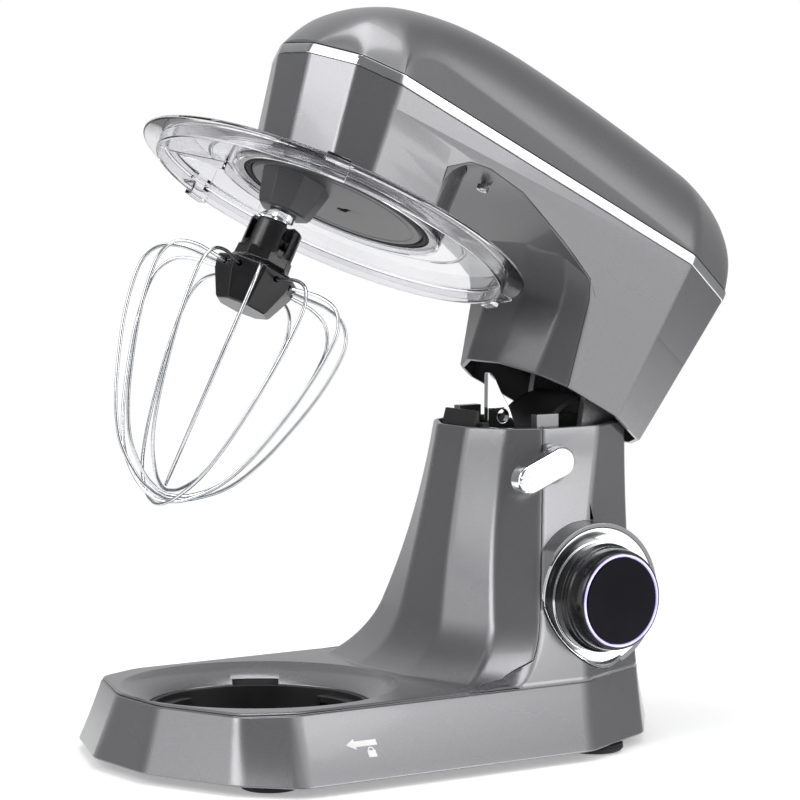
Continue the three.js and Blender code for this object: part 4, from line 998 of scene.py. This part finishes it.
def surroundings():
    """White to the eye; the gloss reflects a dim room with two tall soft screens and a pale ceiling."""
    world = bpy.data.worlds.new("studio")
    bpy.context.scene.world = world
    world.use_nodes = True
    tree = world.node_tree
    backdrop = tree.nodes["Background"]
    backdrop.inputs["Color"].default_value = (1, 1, 1, 1)
    backdrop.inputs["Strength"].default_value = 1.0
    room = tree.nodes.new("ShaderNodeBackground")
    room.inputs["Strength"].default_value = 1.0
    place = tree.nodes.new("ShaderNodeTexCoord")
    split = tree.nodes.new("ShaderNodeSeparateXYZ")
    tree.links.new(place.outputs["Generated"], split.inputs["Vector"])
    bearing = tree.nodes.new("ShaderNodeMath")
    bearing.operation = "ARCTAN2"
    tree.links.new(split.outputs["Y"], bearing.inputs[0])
    tree.links.new(split.outputs["X"], bearing.inputs[1])
    around = tree.nodes.new("ShaderNodeMapRange")
    around.inputs["From Min"].default_value = -math.pi
    around.inputs["From Max"].default_value = math.pi
    tree.links.new(bearing.outputs["Value"], around.inputs["Value"])
    screens = tree.nodes.new("ShaderNodeValToRGB")
    fill_ramp(screens.color_ramp, ROOM_AROUND)
    tree.links.new(around.outputs["Result"], screens.inputs["Fac"])
    ceiling = tree.nodes.new("ShaderNodeMapRange")
    ceiling.interpolation_type = "SMOOTHSTEP"
    ceiling.inputs["From Min"].default_value = 0.80
    ceiling.inputs["From Max"].default_value = 0.95
    tree.links.new(split.outputs["Z"], ceiling.inputs["Value"])
    blend = tree.nodes.new("ShaderNodeMix")
    blend.data_type = "RGBA"
    blend.inputs[7].default_value = (0.55, 0.55, 0.56, 1)
    tree.links.new(ceiling.outputs["Result"], blend.inputs[0])
    tree.links.new(screens.outputs["Color"], blend.inputs[6])
    tree.links.new(blend.outputs[2], room.inputs["Color"])
    seen = tree.nodes.new("ShaderNodeLightPath")
    through = tree.nodes.new("ShaderNodeMath")
    through.operation = "MAXIMUM"
    tree.links.new(seen.outputs["Is Camera Ray"], through.inputs[0])
    tree.links.new(seen.outputs["Is Transmission Ray"], through.inputs[1])
    mix_shader = tree.nodes.new("ShaderNodeMixShader")
    tree.links.new(through.outputs["Value"], mix_shader.inputs["Fac"])
    tree.links.new(room.outputs["Background"], mix_shader.inputs[1])
    tree.links.new(backdrop.outputs["Background"], mix_shader.inputs[2])
    tree.links.new(mix_shader.outputs["Shader"], tree.nodes["World Output"].inputs["Surface"])


# Brightness of the room round the compass, as (bearing in degrees from +X, brightness).
ROOM_AROUND = [(-180, 0.55), (-160, 0.30), (-135, 0.22), (-124, 0.24), (-115, 1.50), (-86, 1.50), (-76,
        0.24),
               (-50, 0.20), (-12, 0.20), (2, 0.30), (13, 1.30), (56, 1.30), (70, 0.32), (100, 0.24), (140,
                       0.55),
               (165, 0.6), (180, 0.55)]


def fill_ramp(ramp_of_colours, places):
    """Grey stops along a colour ramp."""
    while len(ramp_of_colours.elements) < len(places):
        ramp_of_colours.elements.new(0.5)
    for stop, (bearing, brightness) in zip(ramp_of_colours.elements, places):
        stop.position = (bearing + 180) / 360
        stop.color = (brightness, brightness, brightness * 1.01, 1)


def softbox(name, place, target, width, height, power):
    """A soft area light aimed at a point."""
    light = bpy.data.lights.new(name, "AREA")
    light.shape = "RECTANGLE"
    light.size, light.size_y = width, height
    light.energy = power
    lamp = bpy.data.objects.new(name, light)
    lamp.location = place
    lamp.rotation_euler = (Vector(target) - Vector(place)).to_track_quat("-Z", "Y").to_euler()
    bpy.context.scene.collection.objects.link(lamp)


def photographer():
    """Camera to the front right, a little above, with a long lens."""
    view = bpy.data.cameras.new("camera")
    view.lens = 151.6
    view.sensor_width = 36
    view.clip_end = 50
    camera = bpy.data.objects.new("camera", view)
    camera.location = DISH + Vector((1.6166, -1.0110, 0.3690))
    camera.rotation_euler = (math.radians(90 - 4.91), 0, math.radians(55.56))
    bpy.context.scene.collection.objects.link(camera)
    bpy.context.scene.camera = camera


floor()
surroundings()
centre = (0, 0, 0.2)
softbox("key", (0.2, -1.6, 1.2), centre, 0.8, 1.0, 9)
softbox("side_strip", (1.5, 0.95, 0.9), centre, 0.6, 1.6, 8)
softbox("overhead", (0, 0.1, 1.9), centre, 1.4, 0.9, 12)
photographer()
bpy.context.scene.view_settings.view_transform = "Standard"
